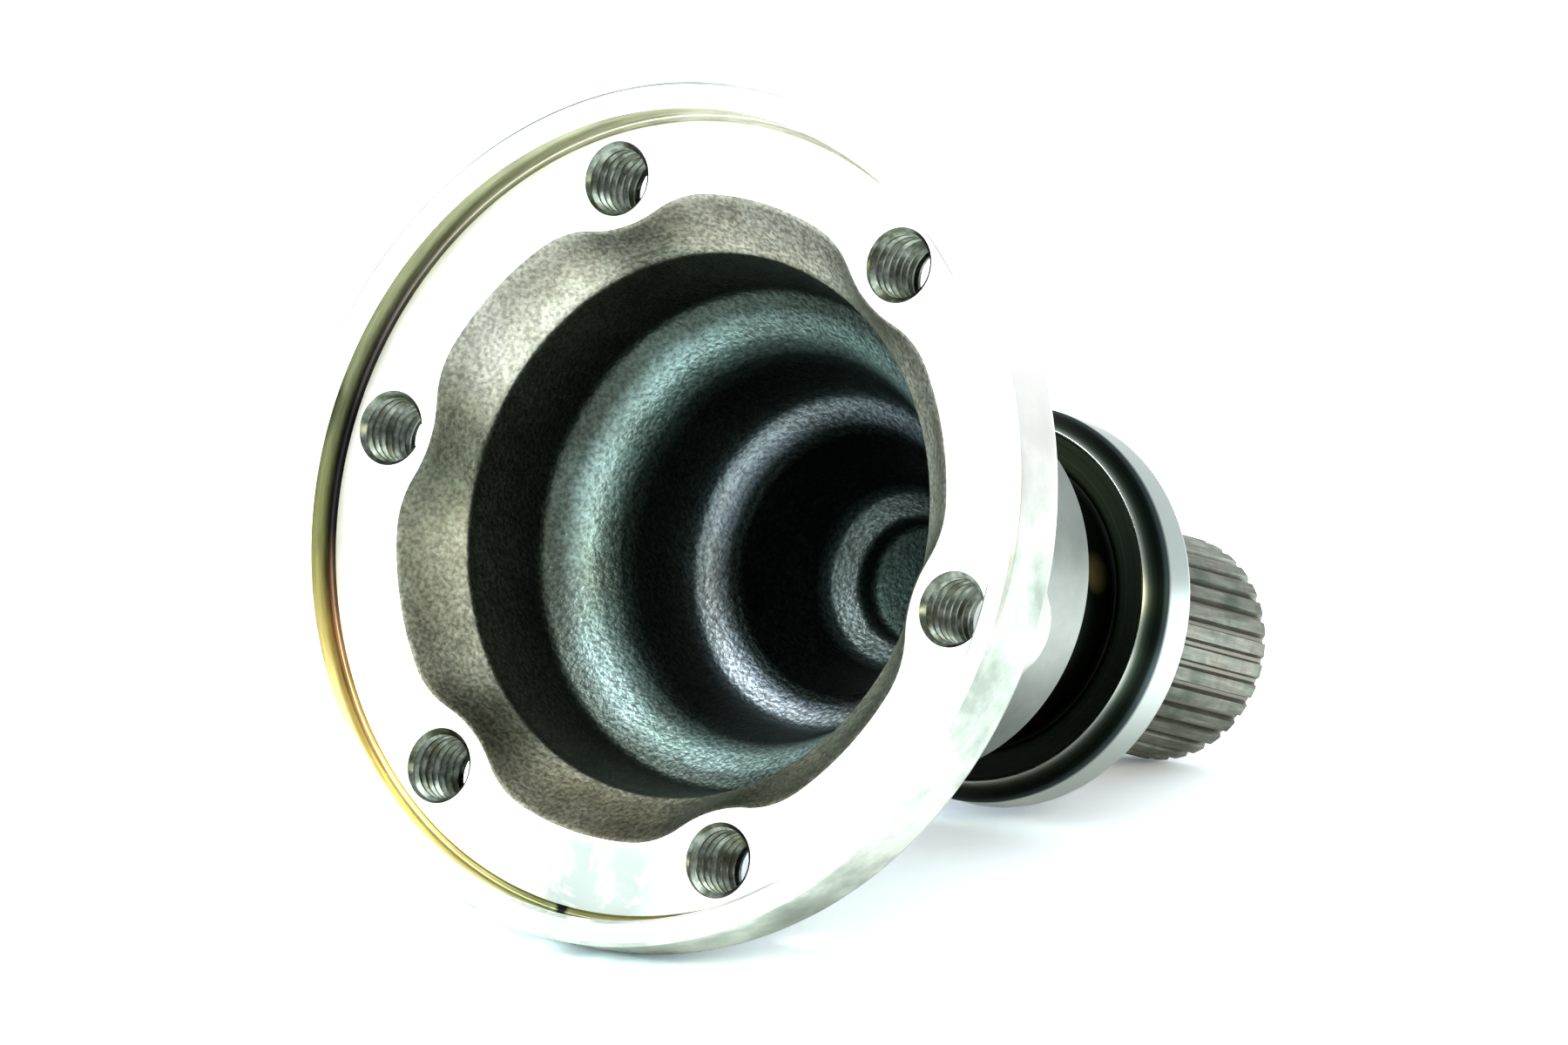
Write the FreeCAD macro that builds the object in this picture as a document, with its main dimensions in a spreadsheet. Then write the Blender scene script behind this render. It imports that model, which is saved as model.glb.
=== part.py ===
"""Differential output shaft with its sealed ball bearing.

The shaft axis is +Y. The origin is the centre of the bolt circle on the joint face, the flange faces
-Y and the splines point to +Y. All sizes are in millimetres.
"""
import FreeCAD, Part
import math
import os

import Sketcher

Vector = FreeCAD.Vector
Rotation = FreeCAD.Rotation
Placement = FreeCAD.Placement

AXIS = Vector(0, 1, 0)
SIZES = {
    # Drive flange, from the bolt circle outwards
    "bolt_circle": 94.0,
    "bolt_count": 6,
    "tap_drill": 8.5,
    "register_margin": 7.0,
    "register_depth": 4.8,
    "register_lead": 0.6,
    "lip_wall": 3.5,
    "rim_edge": 0.5,
    "rim_back": 4.6,
    "back_taper_length": 4.7,
    "back_taper": 2.9,
    "pad_diameter": 17.0,
    "pad_height": 2.9,
    # Cup mouth, from the bolt circle inwards, with six lobes between the tapped holes
    "lobe_margin": 3.8,
    "crest_rise": 3.0,
    "crest_round": 16.0,
    "lobe_round": 13.0,
    "mouth_step": 3.8,
    "mouth_depth": 7.0,
    # Steps of the forged bore, each counted from the one before
    "throat_step": 2.7,
    "throat_length": 13.8,
    "brow_step": 5.1,
    "brow_length": 3.8,
    "waist_step": 3.2,
    "waist_length": 6.4,
    "well_step": 2.7,
    "well_length": 10.4,
    "pit_step": 5.0,
    "pit_length": 4.0,
    "dimple_step": 5.8,
    "dimple_length": 13.4,
    "socket_step": 3.2,
    "socket_length": 2.2,
    "floor_length": 3.6,
    "throat_round": 2.0,
    "brow_round": 10.0,
    "waist_round": 12.0,
    "well_round": 2.0,
    "pit_round": 2.2,
    "dimple_round": 1.2,
    "socket_round": 1.2,
    # Outside of the cup: its wall at the mouth, throat and well, and how far each sits from the step
    "root_wall": 5.1,
    "middle_wall": 4.8,
    "middle_offset": 1.4,
    "waist_wall": 6.5,
    "waist_offset": 1.4,
    "hub_offset": 2.6,
    "hub_step": 5.9,
    "hub_length": 16.3,
    "hub_edge": 0.6,
    "hub_root_round": 6.0,
    "hub_round": 8.0,
    # Neck, bearing seat and circlip groove
    "neck_step": 2.8,
    "neck_length": 15.3,
    "neck_foot_round": 1.2,
    "seat_slack": 0.01,
    "seat_end_edge": 0.6,
    "groove_depth": 1.0,
    "groove_play": 0.05,
    "groove_shoulder": 3.4,
    # Splined end
    "spline_step": 1.7,
    "spline_teeth": 33,
    "spline_depth": 0.9,
    "spline_space": 1.2,
    "spline_floor": 0.5,
    "spline_length": 31.8,
    "spline_lead": 1.1,
    "relief_depth": 1.6,
    "relief_width": 2.6,
    "centre_mouth": 6.3,
    "centre_drill": 2.5,
    "centre_cone": 3.3,
    "centre_depth": 6.5,
    # Sealed ball bearing
    "bearing_bore": 35.0,
    "bearing_outside": 55.0,
    "bearing_width": 10.0,
    "bearing_edge": 0.6,
    "front_bevel_rise": 2.4,
    "front_bevel_length": 2.8,
    "back_bevel_rise": 1.0,
    "back_bevel_length": 1.6,
    "ball_diameter": 5.95,
    "ball_count": 14,
    "ball_play": 0.02,
    "raceway_slack": 0.125,
    "inner_shoulder_drop": 1.7,
    "outer_shoulder_rise": 1.85,
    "seal_seat_step": 0.45,
    "seal_recess": 0.35,
    "seal_thickness": 1.1,
    "seal_web": 0.6,
    "seal_play": 0.1,
    "seal_slack": 0.02,
    # Ball cage
    "cage_width": 2.0,
    "cage_sheet": 0.45,
    "cage_split": 0.02,
    "pocket_play": 0.1,
    "rivet_diameter": 1.0,
    "rivet_play": 0.01,
    "rivet_head": 1.8,
    "rivet_head_height": 0.4,
    # Circlip behind the bearing
    "circlip_thickness": 1.5,
    "circlip_width": 3.5,
    "circlip_gap": 5.6,
    "lug_diameter": 6.2,
    "lug_hole": 2.5,
    "lug_offset": 1.6,
    "lug_rise": 0.6,
}


class Size:
    """A length with the spreadsheet expression that gives it."""

    def __init__(self, value, text):
        self.value = float(value)
        self.text = text

    def __add__(self, other):
        other = as_size(other)
        return Size(self.value + other.value, "(%s + %s)" % (self.text, other.text))

    def __sub__(self, other):
        other = as_size(other)
        return Size(self.value - other.value, "(%s - %s)" % (self.text, other.text))

    def __mul__(self, other):
        other = as_size(other)
        return Size(self.value * other.value, "%s * %s" % (self.text, other.text))

    def __truediv__(self, other):
        other = as_size(other)
        return Size(self.value / other.value, "%s / %s" % (self.text, other.text))

    def __neg__(self):
        return Size(-self.value, "-1 * %s" % self.text)


def as_size(number):
    return number if isinstance(number, Size) else Size(number, repr(float(number)))


class Sheet:
    """The driving dimensions as a spreadsheet, read back as sizes by name."""

    def __init__(self, doc):
        self.cells = doc.addObject("Spreadsheet::Sheet", "Sizes")
        for row, (name, number) in enumerate(SIZES.items(), start=1):
            self.cells.set("A%d" % row, name)
            self.cells.set("B%d" % row, str(number))
            self.cells.setAlias("B%d" % row, name)
        doc.recompute()

    def __getattr__(self, name):
        return Size(self.cells.getPropertyByName(name), "Sizes." + name)


doc = FreeCAD.newDocument("output_shaft")
size = Sheet(doc)


def half(diameter):
    return diameter / 2


# Flange radii, counted from the bolt circle
bolt_radius = half(size.bolt_circle)
register_radius = bolt_radius + size.register_margin
rim_radius = register_radius + size.lip_wall
lobe_radius = bolt_radius - size.lobe_margin
crest_radius = lobe_radius - size.crest_rise
mouth_radius = crest_radius - size.mouth_step
flange_thickness = size.rim_back + size.back_taper_length

# Steps of the forged bore: radius and depth of each
throat_radius = mouth_radius - size.throat_step
throat_depth = size.mouth_depth + size.throat_length
brow_radius = throat_radius - size.brow_step
brow_depth = throat_depth + size.brow_length
waist_radius = brow_radius - size.waist_step
waist_depth = brow_depth + size.waist_length
well_radius = waist_radius - size.well_step
well_depth = waist_depth + size.well_length
pit_radius = well_radius - size.pit_step
pit_depth = well_depth + size.pit_length
dimple_radius = pit_radius - size.dimple_step
dimple_depth = pit_depth + size.dimple_length
socket_radius = dimple_radius - size.socket_step
socket_depth = dimple_depth + size.socket_length
bore_depth = socket_depth + size.floor_length

# Radii behind the hub, counted from the bearing
seat_radius = half(size.bearing_bore) - size.seat_slack
neck_radius = half(size.bearing_bore) + size.neck_step
hub_radius = neck_radius + size.hub_step
groove_radius = seat_radius - size.groove_depth
spline_radius = half(size.bearing_bore) - size.spline_step
relief_radius = spline_radius - size.relief_depth
ball_radius = half(size.ball_diameter)
ball_circle_radius = half(half(size.bearing_bore + size.bearing_outside))
inner_shoulder_radius = ball_circle_radius - size.inner_shoulder_drop
outer_shoulder_radius = ball_circle_radius + size.outer_shoulder_rise
seal_seat_radius = outer_shoulder_radius + size.seal_seat_step
raceway_radius = ball_radius + size.raceway_slack

# Places along the axis that more than one piece uses
hub_start = pit_depth + size.hub_offset
hub_end = hub_start + size.hub_length
seat_start = hub_end + size.neck_length
bearing_end = seat_start + size.bearing_width
bearing_middle = seat_start + half(size.bearing_width)
clip_start = bearing_end + size.groove_play
clip_end = clip_start + size.circlip_thickness
groove_end = clip_end + size.groove_play
seat_end = groove_end + size.groove_shoulder
spline_start = seat_end + size.relief_width
shaft_end = spline_start + size.spline_length


def new_body(label):
    body = doc.addObject("PartDesign::Body", label)
    body.Label = label
    return body


def origin_part(body, role):
    return [part for part in body.Origin.OriginFeatures if part.Role == role][0]


def new_sketch(body, name, plane, lift=None):
    """A sketch on one of the body's origin planes, moved along the plane's normal by lift."""
    sketch = body.newObject("Sketcher::SketchObject", name)
    sketch.AttachmentSupport = [(origin_part(body, plane), "")]
    sketch.MapMode = "FlatFace"
    if lift is not None:
        sketch.setExpression("AttachmentOffset.Base.z", lift.text)
    return sketch


def bind(sketch, constraints):
    """Adds (constraint, size) pairs and binds each constraint that has a size to the sheet."""
    first = sketch.ConstraintCount
    sketch.addConstraint([constraint for constraint, _ in constraints])
    for index, (_, length) in enumerate(constraints, start=first):
        if length is not None:
            sketch.setExpression("Constraints[%d]" % index, length.text)


def placed(geometry, point, across, along):
    """Constraints that hold a point of a sketch at (across, along)."""
    found = []
    for word, length, axis in (("DistanceX", across, -2), ("DistanceY", along, -1)):
        if abs(length.value) < 1e-9:
            found.append((Sketcher.Constraint("PointOnObject", geometry, point, axis), None))
        else:
            rule = Sketcher.Constraint(word, -1, 1, geometry, point, length.value)
            found.append((rule, length))
    return found


def outline(sketch, corners):
    """Straight lines through the corners, closed, each corner held at its (across, along)."""
    corners = [(as_size(across), as_size(along)) for across, along in corners]
    points = [Vector(across.value, along.value, 0) for across, along in corners]
    count = len(points)
    lines = [Part.LineSegment(points[i], points[(i + 1) % count]) for i in range(count)]
    first = sketch.GeometryCount
    sketch.addGeometry(lines, False)
    rules = []
    for i, (across, along) in enumerate(corners):
        following = first + (i + 1) % count
        rules.append((Sketcher.Constraint("Coincident", first + i, 2, following, 1), None))
        rules += placed(first + i, 1, across, along)
    bind(sketch, rules)


def circle(sketch, across, along, radius):
    across, along = as_size(across), as_size(along)
    index = sketch.GeometryCount
    centre = Vector(across.value, along.value, 0)
    sketch.addGeometry(Part.Circle(centre, Vector(0, 0, 1), radius.value), False)
    rules = placed(index, 3, across, along)
    rules.append((Sketcher.Constraint("Radius", index, radius.value), radius))
    bind(sketch, rules)


def turned(body, name, corners, kind="PartDesign::Revolution"):
    """A revolution, or a groove, of (radius, place) corners about the shaft axis."""
    sketch = new_sketch(body, name + "_outline", "XY_Plane")
    outline(sketch, corners)
    feature = body.newObject(kind, name)
    feature.Profile = sketch
    feature.ReferenceAxis = (sketch, ["V_Axis"])
    feature.Angle = 360.0
    doc.recompute()
    return feature


def extruded(body, name, kind, sketch, length):
    feature = body.newObject(kind, name)
    feature.Profile = sketch
    if length is None:
        feature.Type = "ThroughAll"
    else:
        feature.setExpression("Length", length.text)
    doc.recompute()
    return feature


def repeated(body, name, originals, count):
    """A full polar pattern about the shaft axis."""
    pattern = body.newObject("PartDesign::PolarPattern", name)
    pattern.Originals = originals
    pattern.Axis = (origin_part(body, "Y_Axis"), [""])
    pattern.Angle = 360.0
    pattern.setExpression("Occurrences", count.text)
    body.Tip = pattern
    doc.recompute()
    return pattern


def ring_edges(feature, radius, place):
    """Names of the feature's circular edges about the axis with this radius and place."""
    found = []
    for number, edge in enumerate(feature.Shape.Edges, start=1):
        curve = edge.Curve
        if not isinstance(curve, Part.Circle):
            continue
        off = (curve.Center - Vector(0, place.value, 0)).Length
        if off < 1e-4 and abs(curve.Radius - radius.value) < 1e-4:
            found.append("Edge%d" % number)
    return found


def rounded(body, name, corner_list, radius):
    """A fillet of the turned corners given as (radius, place)."""
    base = body.Tip
    edges = sum([ring_edges(base, across, along) for across, along in corner_list], [])
    if not edges:
        raise ValueError("no edge found for " + name)
    fillet = body.newObject("PartDesign::Fillet", name)
    fillet.Base = (base, edges)
    fillet.setExpression("Radius", radius.text)
    doc.recompute()
    return fillet


def flange_blank(body):
    """Lip, joint face, rim, hub, neck, bearing seat and spline blank in one turned outline."""
    lip = -size.register_depth
    root = (mouth_radius + size.root_wall, flange_thickness)
    middle = (throat_radius + size.middle_wall, throat_depth + size.middle_offset)
    waist = (well_radius + size.waist_wall, well_depth - size.waist_offset)
    corners = [
        (0, 0),
        (register_radius, 0),
        (register_radius, lip + size.register_lead),
        (register_radius + size.register_lead, lip),
        (rim_radius - size.rim_edge, lip),
        (rim_radius, lip + size.rim_edge),
        (rim_radius, size.rim_back),
        (rim_radius - size.back_taper, flange_thickness),
        root,
        middle,
        waist,
        (hub_radius, hub_start),
        (hub_radius, hub_end - size.hub_edge),
        (hub_radius - size.hub_edge, hub_end),
        (neck_radius, hub_end),
        (neck_radius, seat_start),
        (seat_radius, seat_start),
        (seat_radius, bearing_end),
        (groove_radius, bearing_end),
        (groove_radius, groove_end),
        (seat_radius, groove_end),
        (seat_radius, seat_end - size.seat_end_edge),
        (seat_radius - size.seat_end_edge, seat_end),
        (relief_radius, seat_end),
        (relief_radius, spline_start),
        (spline_radius, spline_start),
        (spline_radius, shaft_end - size.spline_lead),
        (spline_radius - size.spline_lead, shaft_end),
        (0, shaft_end),
    ]
    turned(body, "blank", corners)
    rounded(body, "hub_root_fillet", [root], size.hub_root_round)
    rounded(body, "hub_waist_fillet", [waist], size.hub_round)
    rounded(body, "hub_fillet", [(hub_radius, hub_start)], size.hub_round)
    rounded(body, "neck_fillet", [(neck_radius, hub_end)], size.neck_foot_round)


def cup_steps():
    """The forged steps of the cup from the mouth inwards, as (radius, depth)."""
    return {
        "mouth": (mouth_radius, size.mouth_depth),
        "throat": (throat_radius, throat_depth),
        "brow": (brow_radius, brow_depth),
        "waist": (waist_radius, waist_depth),
        "well": (well_radius, well_depth),
        "pit": (pit_radius, pit_depth),
        "dimple": (dimple_radius, dimple_depth),
        "socket": (socket_radius, socket_depth),
        "floor": (socket_radius, bore_depth),
    }


def cup_bore(body):
    steps = cup_steps()
    corners = [(0, 0), (mouth_radius, 0)] + list(steps.values()) + [(0, bore_depth)]
    turned(body, "cup", corners, "PartDesign::Groove")
    for name in ("throat", "brow", "waist", "well", "pit", "dimple", "socket"):
        radius = getattr(size, name + "_round")
        rounded(body, name + "_fillet", [steps[name]], radius)
    rounded(body, "floor_fillet", [steps["floor"]], size.socket_round)


def hole_angle(index):
    """Tapped holes stand half a pitch from +Z, so that two of them lie level with the axis."""
    return 360.0 * (index + 0.5) / size.bolt_count.value


def first_hole():
    """(X, Z) of the first tapped hole."""
    turn = "%g deg" % hole_angle(0)
    reach = bolt_radius
    across = Size(reach.value * math.sin(math.radians(hole_angle(0))), "%s * sin(%s)" % (reach.text, turn))
    up = Size(reach.value * math.cos(math.radians(hole_angle(0))), "%s * cos(%s)" % (reach.text, turn))
    return across, up


def tapped_holes(body):
    """A raised pad behind each hole, and the tap drill through both."""
    across, up = first_hole()
    back = flange_thickness + size.pad_height
    seat = new_sketch(body, "pad_outline", "XZ_Plane", -back)
    circle(seat, across, up, half(size.pad_diameter))
    pad = extruded(body, "pad", "PartDesign::Pad", seat, back - half(flange_thickness))
    repeated(body, "pads", [pad], size.bolt_count)
    drill_outline = new_sketch(body, "drill_outline", "XZ_Plane")
    circle(drill_outline, across, up, half(size.tap_drill))
    drill = extruded(body, "drill", "PartDesign::Pocket", drill_outline, None)
    repeated(body, "drills", [drill], size.bolt_count)


def splines(body):
    """One tooth space cut from the end to the relief neck, repeated round the shaft."""
    top = spline_radius
    floor = top - size.spline_depth
    above = top + size.spline_depth
    wide = half(size.spline_space)
    wider = wide + wide - half(size.spline_floor)
    narrow = half(size.spline_floor)
    sketch = new_sketch(body, "tooth_space_outline", "XZ_Plane", -shaft_end)
    outline(sketch, [(-wider, above), (-narrow, floor), (narrow, floor), (wider, above)])
    space = body.newObject("PartDesign::Pocket", "tooth_space")
    space.Profile = sketch
    space.Reversed = True
    space.setExpression("Length", (size.spline_length + half(size.relief_width)).text)
    doc.recompute()
    repeated(body, "tooth_spaces", [space], size.spline_teeth)


def centre_hole(body):
    mouth = half(size.centre_mouth)
    drill = half(size.centre_drill)
    cone_end = shaft_end - size.centre_cone
    corners = [
        (0, shaft_end),
        (mouth, shaft_end),
        (drill, cone_end),
        (drill, shaft_end - size.centre_depth),
        (0, shaft_end - size.centre_depth - drill),
    ]
    turned(body, "centre_hole", corners, "PartDesign::Groove")


def polar(radius, angle, depth=0.0):
    """A point at this radius and angle from +Z, at this depth along the axis."""
    return Vector(radius * math.sin(angle), depth, radius * math.cos(angle))


def cup_mouth():
    """The lobed mouth as a loft from the six-lobed outline in the joint face to the round throat.

    Each hole's crest is an arc that bulges inwards, joined to the wide lobe arcs by two rounds that
    are tangent to both.
    """
    lobe = lobe_radius.value
    crest = crest_radius.value
    bulge = size.crest_round.value
    blend = size.lobe_round.value
    mouth = mouth_radius.value
    depth = size.mouth_depth.value
    count = int(size.bolt_count.value)
    crest_centre = crest + bulge
    blend_centre = lobe - blend
    reach = blend + bulge
    spread = (crest_centre ** 2 + blend_centre ** 2 - reach ** 2) / (2 * crest_centre * blend_centre)
    blend_turn = math.acos(spread)
    face_edges = []
    throat_edges = []
    pitch = 2 * math.pi / count
    for index in range(count):
        hole = math.radians(hole_angle(index))
        centre = polar(crest_centre, hole)
        joints = []
        for side in (-1, 1):
            blend_middle = polar(blend_centre, hole + side * blend_turn)
            touch = centre + (blend_middle - centre) * (bulge / reach)
            start = polar(lobe, hole + side * blend_turn)
            middle = (start - blend_middle).normalize() + (touch - blend_middle).normalize()
            halfway = blend_middle + middle.normalize() * blend
            joints.append((start, halfway, touch))
        left, right = joints
        face_edges.append(Part.Arc(left[0], left[1], left[2]).toShape())
        face_edges.append(Part.Arc(left[2], polar(crest, hole), right[2]).toShape())
        face_edges.append(Part.Arc(right[2], right[1], right[0]).toShape())
        lobe_end = polar(lobe, hole + pitch - blend_turn)
        face_edges.append(Part.Arc(right[0], polar(lobe, hole + pitch / 2), lobe_end).toShape())
        touch_turn = math.atan2(right[2].x, right[2].z) - hole
        touch_turn = (touch_turn + math.pi) % (2 * math.pi) - math.pi
        turns = [-blend_turn, -touch_turn, touch_turn, blend_turn, pitch - blend_turn]
        for start_turn, end_turn in zip(turns, turns[1:]):
            stops = [start_turn, (start_turn + end_turn) / 2, end_turn]
            points = [polar(mouth, hole + stop, depth) for stop in stops]
            throat_edges.append(Part.Arc(*points).toShape())
    cutter = doc.addObject("Part::Feature", "cup_mouth")
    cutter.Shape = Part.makeLoft([Part.Wire(face_edges), Part.Wire(throat_edges)], True, True)
    return cutter


def output_shaft():
    body = new_body("shaft_blank")
    flange_blank(body)
    cup_bore(body)
    tapped_holes(body)
    splines(body)
    centre_hole(body)
    shaft = doc.addObject("Part::Cut", "output_shaft")
    shaft.Base = body
    shaft.Tool = cup_mouth()
    shaft.Refine = True
    doc.recompute()
    return shaft


def raceway(body, name, centre_radius):
    """The ball groove, turned from a full circle about the ball's own centre plane."""
    sketch = new_sketch(body, name + "_outline", "XY_Plane")
    circle(sketch, centre_radius, bearing_middle, raceway_radius)
    groove = body.newObject("PartDesign::Groove", name)
    groove.Profile = sketch
    groove.ReferenceAxis = (sketch, ["V_Axis"])
    groove.Angle = 360.0
    doc.recompute()


def bearing_inner_ring():
    body = new_body("bearing_inner_ring")
    bore = half(size.bearing_bore)
    shoulder = inner_shoulder_radius
    edge = size.bearing_edge
    corners = [
        (bore, seat_start + edge),
        (bore + edge, seat_start),
        (shoulder, seat_start),
        (shoulder, bearing_end),
        (bore + edge, bearing_end),
        (bore, bearing_end - edge),
    ]
    turned(body, "ring", corners)
    floor = ball_circle_radius - ball_radius - size.ball_play
    raceway(body, "raceway", floor + raceway_radius)
    return body


def bearing_outer_ring():
    body = new_body("bearing_outer_ring")
    outside = half(size.bearing_outside)
    shoulder = outer_shoulder_radius
    seal = seal_seat_radius
    ledge = size.seal_recess + size.seal_thickness
    corners = [
        (seal, seat_start),
        (outside - size.front_bevel_rise, seat_start),
        (outside, seat_start + size.front_bevel_length),
        (outside, bearing_end - size.back_bevel_length),
        (outside - size.back_bevel_rise, bearing_end),
        (seal, bearing_end),
        (seal, bearing_end - ledge),
        (shoulder, bearing_end - ledge),
        (shoulder, seat_start + ledge),
        (seal, seat_start + ledge),
    ]
    turned(body, "ring", corners)
    floor = ball_circle_radius + ball_radius + size.ball_play
    raceway(body, "raceway", floor - raceway_radius)
    return body


def bearing_seal(label, face, inward):
    """A seal washer with a thick outer bead and a lip at the inner ring, inward from its face."""
    body = new_body(label)
    outside = seal_seat_radius - size.seal_slack
    inside = inner_shoulder_radius + size.seal_play
    bead = outer_shoulder_radius
    front = face + size.seal_recess * inward
    back = front + (size.seal_thickness - size.seal_slack) * inward
    web = front + size.seal_web * inward
    lip = front + half(size.seal_web) * inward
    corners = [
        (inside, lip),
        (inside + size.seal_web, front),
        (outside, front),
        (outside, back),
        (bead, back),
        (bead - size.seal_web, web),
        (inside + size.seal_web, web),
        (inside, back),
    ]
    turned(body, "washer", corners)
    return body


def cage_half(label, side):
    """A pressed ribbon with a round pocket over half of each ball and a rivet hole between them."""
    body = new_body(label)
    inside = ball_circle_radius - half(size.cage_width)
    outside = ball_circle_radius + half(size.cage_width)
    near = bearing_middle + size.cage_split * side
    far = near + size.cage_sheet * side
    turned(body, "land", [(inside, near), (outside, near), (outside, far), (inside, far)])
    pocket = ball_radius + size.pocket_play
    shell = pocket + size.cage_sheet
    sketch = new_sketch(body, "dome_outline", "XY_Plane", inside)
    ends = [Vector(-shell.value, near.value, 0), Vector(shell.value, near.value, 0)]
    top = Vector(0, near.value + shell.value * side, 0)
    sketch.addGeometry([Part.Arc(ends[0], top, ends[1]), Part.LineSegment(ends[0], ends[1])], False)
    start, end = (2, 1) if side > 0 else (1, 2)
    rules = [
        (Sketcher.Constraint("Coincident", 0, start, 1, 1), None),
        (Sketcher.Constraint("Coincident", 0, end, 1, 2), None),
        (Sketcher.Constraint("PointOnObject", 0, 3, 1), None),
        (Sketcher.Constraint("Radius", 0, shell.value), shell),
    ]
    bind(sketch, rules + placed(0, 3, as_size(0), near))
    dome = extruded(body, "dome", "PartDesign::Pad", sketch, outside - inside)
    domes = repeated(body, "domes", [dome], size.ball_count)
    hollow_outline = new_sketch(body, "hollow_outline", "XY_Plane", outside + size.cage_sheet)
    circle(hollow_outline, 0, bearing_middle, pocket)
    hollow = extruded(body, "hollow", "PartDesign::Pocket", hollow_outline, outside - inside + size.cage_sheet * 2)
    repeated(body, "hollows", [hollow], size.ball_count)
    turn = "180 deg / %s" % size.ball_count.text
    angle = math.pi / size.ball_count.value
    across = Size(ball_circle_radius.value * math.sin(angle), "%s * sin(%s)" % (ball_circle_radius.text, turn))
    up = Size(ball_circle_radius.value * math.cos(angle), "%s * cos(%s)" % (ball_circle_radius.text, turn))
    hole_outline = new_sketch(body, "rivet_hole_outline", "XZ_Plane", -bearing_middle)
    circle(hole_outline, across, up, half(size.rivet_diameter) + size.rivet_play)
    hole = extruded(body, "rivet_hole", "PartDesign::Pocket", hole_outline, size.ball_diameter)
    hole.Midplane = True
    doc.recompute()
    repeated(body, "rivet_holes", [hole], size.ball_count)
    return body


def cage_rivets():
    """One rivet between each two balls, all in one node."""
    shank = size.rivet_diameter.value / 2
    head = size.rivet_head.value / 2
    reach = size.cage_split.value + size.cage_sheet.value
    middle = bearing_middle.value
    base = Vector(0, middle - reach, ball_circle_radius.value)
    rivets = []
    for index in range(int(size.ball_count.value)):
        turn = 360.0 * (index + 0.5) / size.ball_count.value
        foot = base - AXIS * size.rivet_head_height.value
        rivet = Part.makeCylinder(head, size.rivet_head_height.value, foot, AXIS)
        rivet = rivet.fuse(Part.makeCylinder(shank, 2 * reach, base, AXIS))
        top = base + AXIS * (2 * reach)
        rivet = rivet.fuse(Part.makeCylinder(head, size.rivet_head_height.value, top, AXIS))
        rivet.rotate(Vector(0, 0, 0), AXIS, turn)
        rivets.append(rivet.removeSplitter())
    group = doc.addObject("Part::Feature", "cage_rivets")
    group.Shape = Part.makeCompound(rivets)
    return group


def ball(index):
    turn = 360.0 * index / size.ball_count.value
    reach = ball_circle_radius
    sphere = doc.addObject("Part::Sphere", "ball_%02d" % (index + 1))
    sphere.setExpression("Radius", ball_radius.text)
    sphere.setExpression("Placement.Base.x", "%s * sin(%.8f deg)" % (reach.text, turn))
    sphere.setExpression("Placement.Base.y", bearing_middle.text)
    sphere.setExpression("Placement.Base.z", "%s * cos(%.8f deg)" % (reach.text, turn))
    return sphere


def bearing_circlip():
    """An open ring with two lugs at the top, each with a hole for the pliers."""
    body = new_body("bearing_circlip")
    inside = groove_radius + size.seat_slack
    lug_spread = half(size.circlip_gap) + size.lug_offset
    lug_reach = inside + size.circlip_width + size.lug_rise
    lift = -clip_end
    ring = new_sketch(body, "ring_outline", "XZ_Plane", lift)
    circle(ring, 0, 0, inside + size.circlip_width)
    circle(ring, 0, 0, inside)
    extruded(body, "ring", "PartDesign::Pad", ring, size.circlip_thickness)
    for name, side in (("left", -1), ("right", 1)):
        lug = new_sketch(body, name + "_lug_outline", "XZ_Plane", lift)
        circle(lug, lug_spread * side, lug_reach, half(size.lug_diameter))
        extruded(body, name + "_lug", "PartDesign::Pad", lug, size.circlip_thickness)
    for name, side in (("left", -1), ("right", 1)):
        hole = new_sketch(body, name + "_hole_outline", "XZ_Plane", lift)
        circle(hole, lug_spread * side, lug_reach, half(size.lug_hole))
        cut = extruded(body, name + "_hole", "PartDesign::Pocket", hole, None)
        cut.Midplane = True
        doc.recompute()
    gap = half(size.circlip_gap)
    above = lug_reach + size.lug_diameter
    slot = new_sketch(body, "slot_outline", "XZ_Plane", lift)
    outline(slot, [(-gap, 0), (gap, 0), (gap, above), (-gap, above)])
    cut = extruded(body, "slot", "PartDesign::Pocket", slot, None)
    cut.Midplane = True
    doc.recompute()
    return body


def all_pieces():
    front, rear = 1, -1
    pieces = [output_shaft(), bearing_inner_ring(), bearing_outer_ring()]
    pieces.append(bearing_seal("bearing_front_seal", seat_start, front))
    pieces.append(bearing_seal("bearing_rear_seal", bearing_end, rear))
    pieces.append(cage_half("cage_front_half", -1))
    pieces.append(cage_half("cage_rear_half", 1))
    pieces.append(cage_rivets())
    pieces += [ball(index) for index in range(int(size.ball_count.value))]
    pieces.append(bearing_circlip())
    return pieces


def check_and_export(pieces):
    doc.recompute()
    for item in doc.Objects:
        if "Invalid" in item.State or "Error" in item.State:
            raise ValueError("%s failed: %s" % (item.Name, item.State))
    os.makedirs("parts", exist_ok=True)
    for piece in pieces:
        if piece.Shape.isNull() or not piece.Shape.isValid():
            raise ValueError(piece.Label + " has no valid shape")
        print(piece.Label, len(piece.Shape.Solids), "solid", round(piece.Shape.Volume, 1), "mm3")
    for piece in pieces:
        piece.Shape.exportStep("parts/%s.step" % piece.Label)


check_and_export(all_pieces())
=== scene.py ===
"""Differential output shaft: dressed surfaces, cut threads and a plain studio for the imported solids.

The object stands in the frame of the solids: metres, shaft axis on +Y, flange towards -Y.
Sizes in the profiles below are millimetres.
"""

import math

import bmesh
import bpy
import numpy as np
from bpy.props import FloatProperty, FloatVectorProperty, IntProperty, PointerProperty
from mathutils import Matrix, Vector


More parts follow.
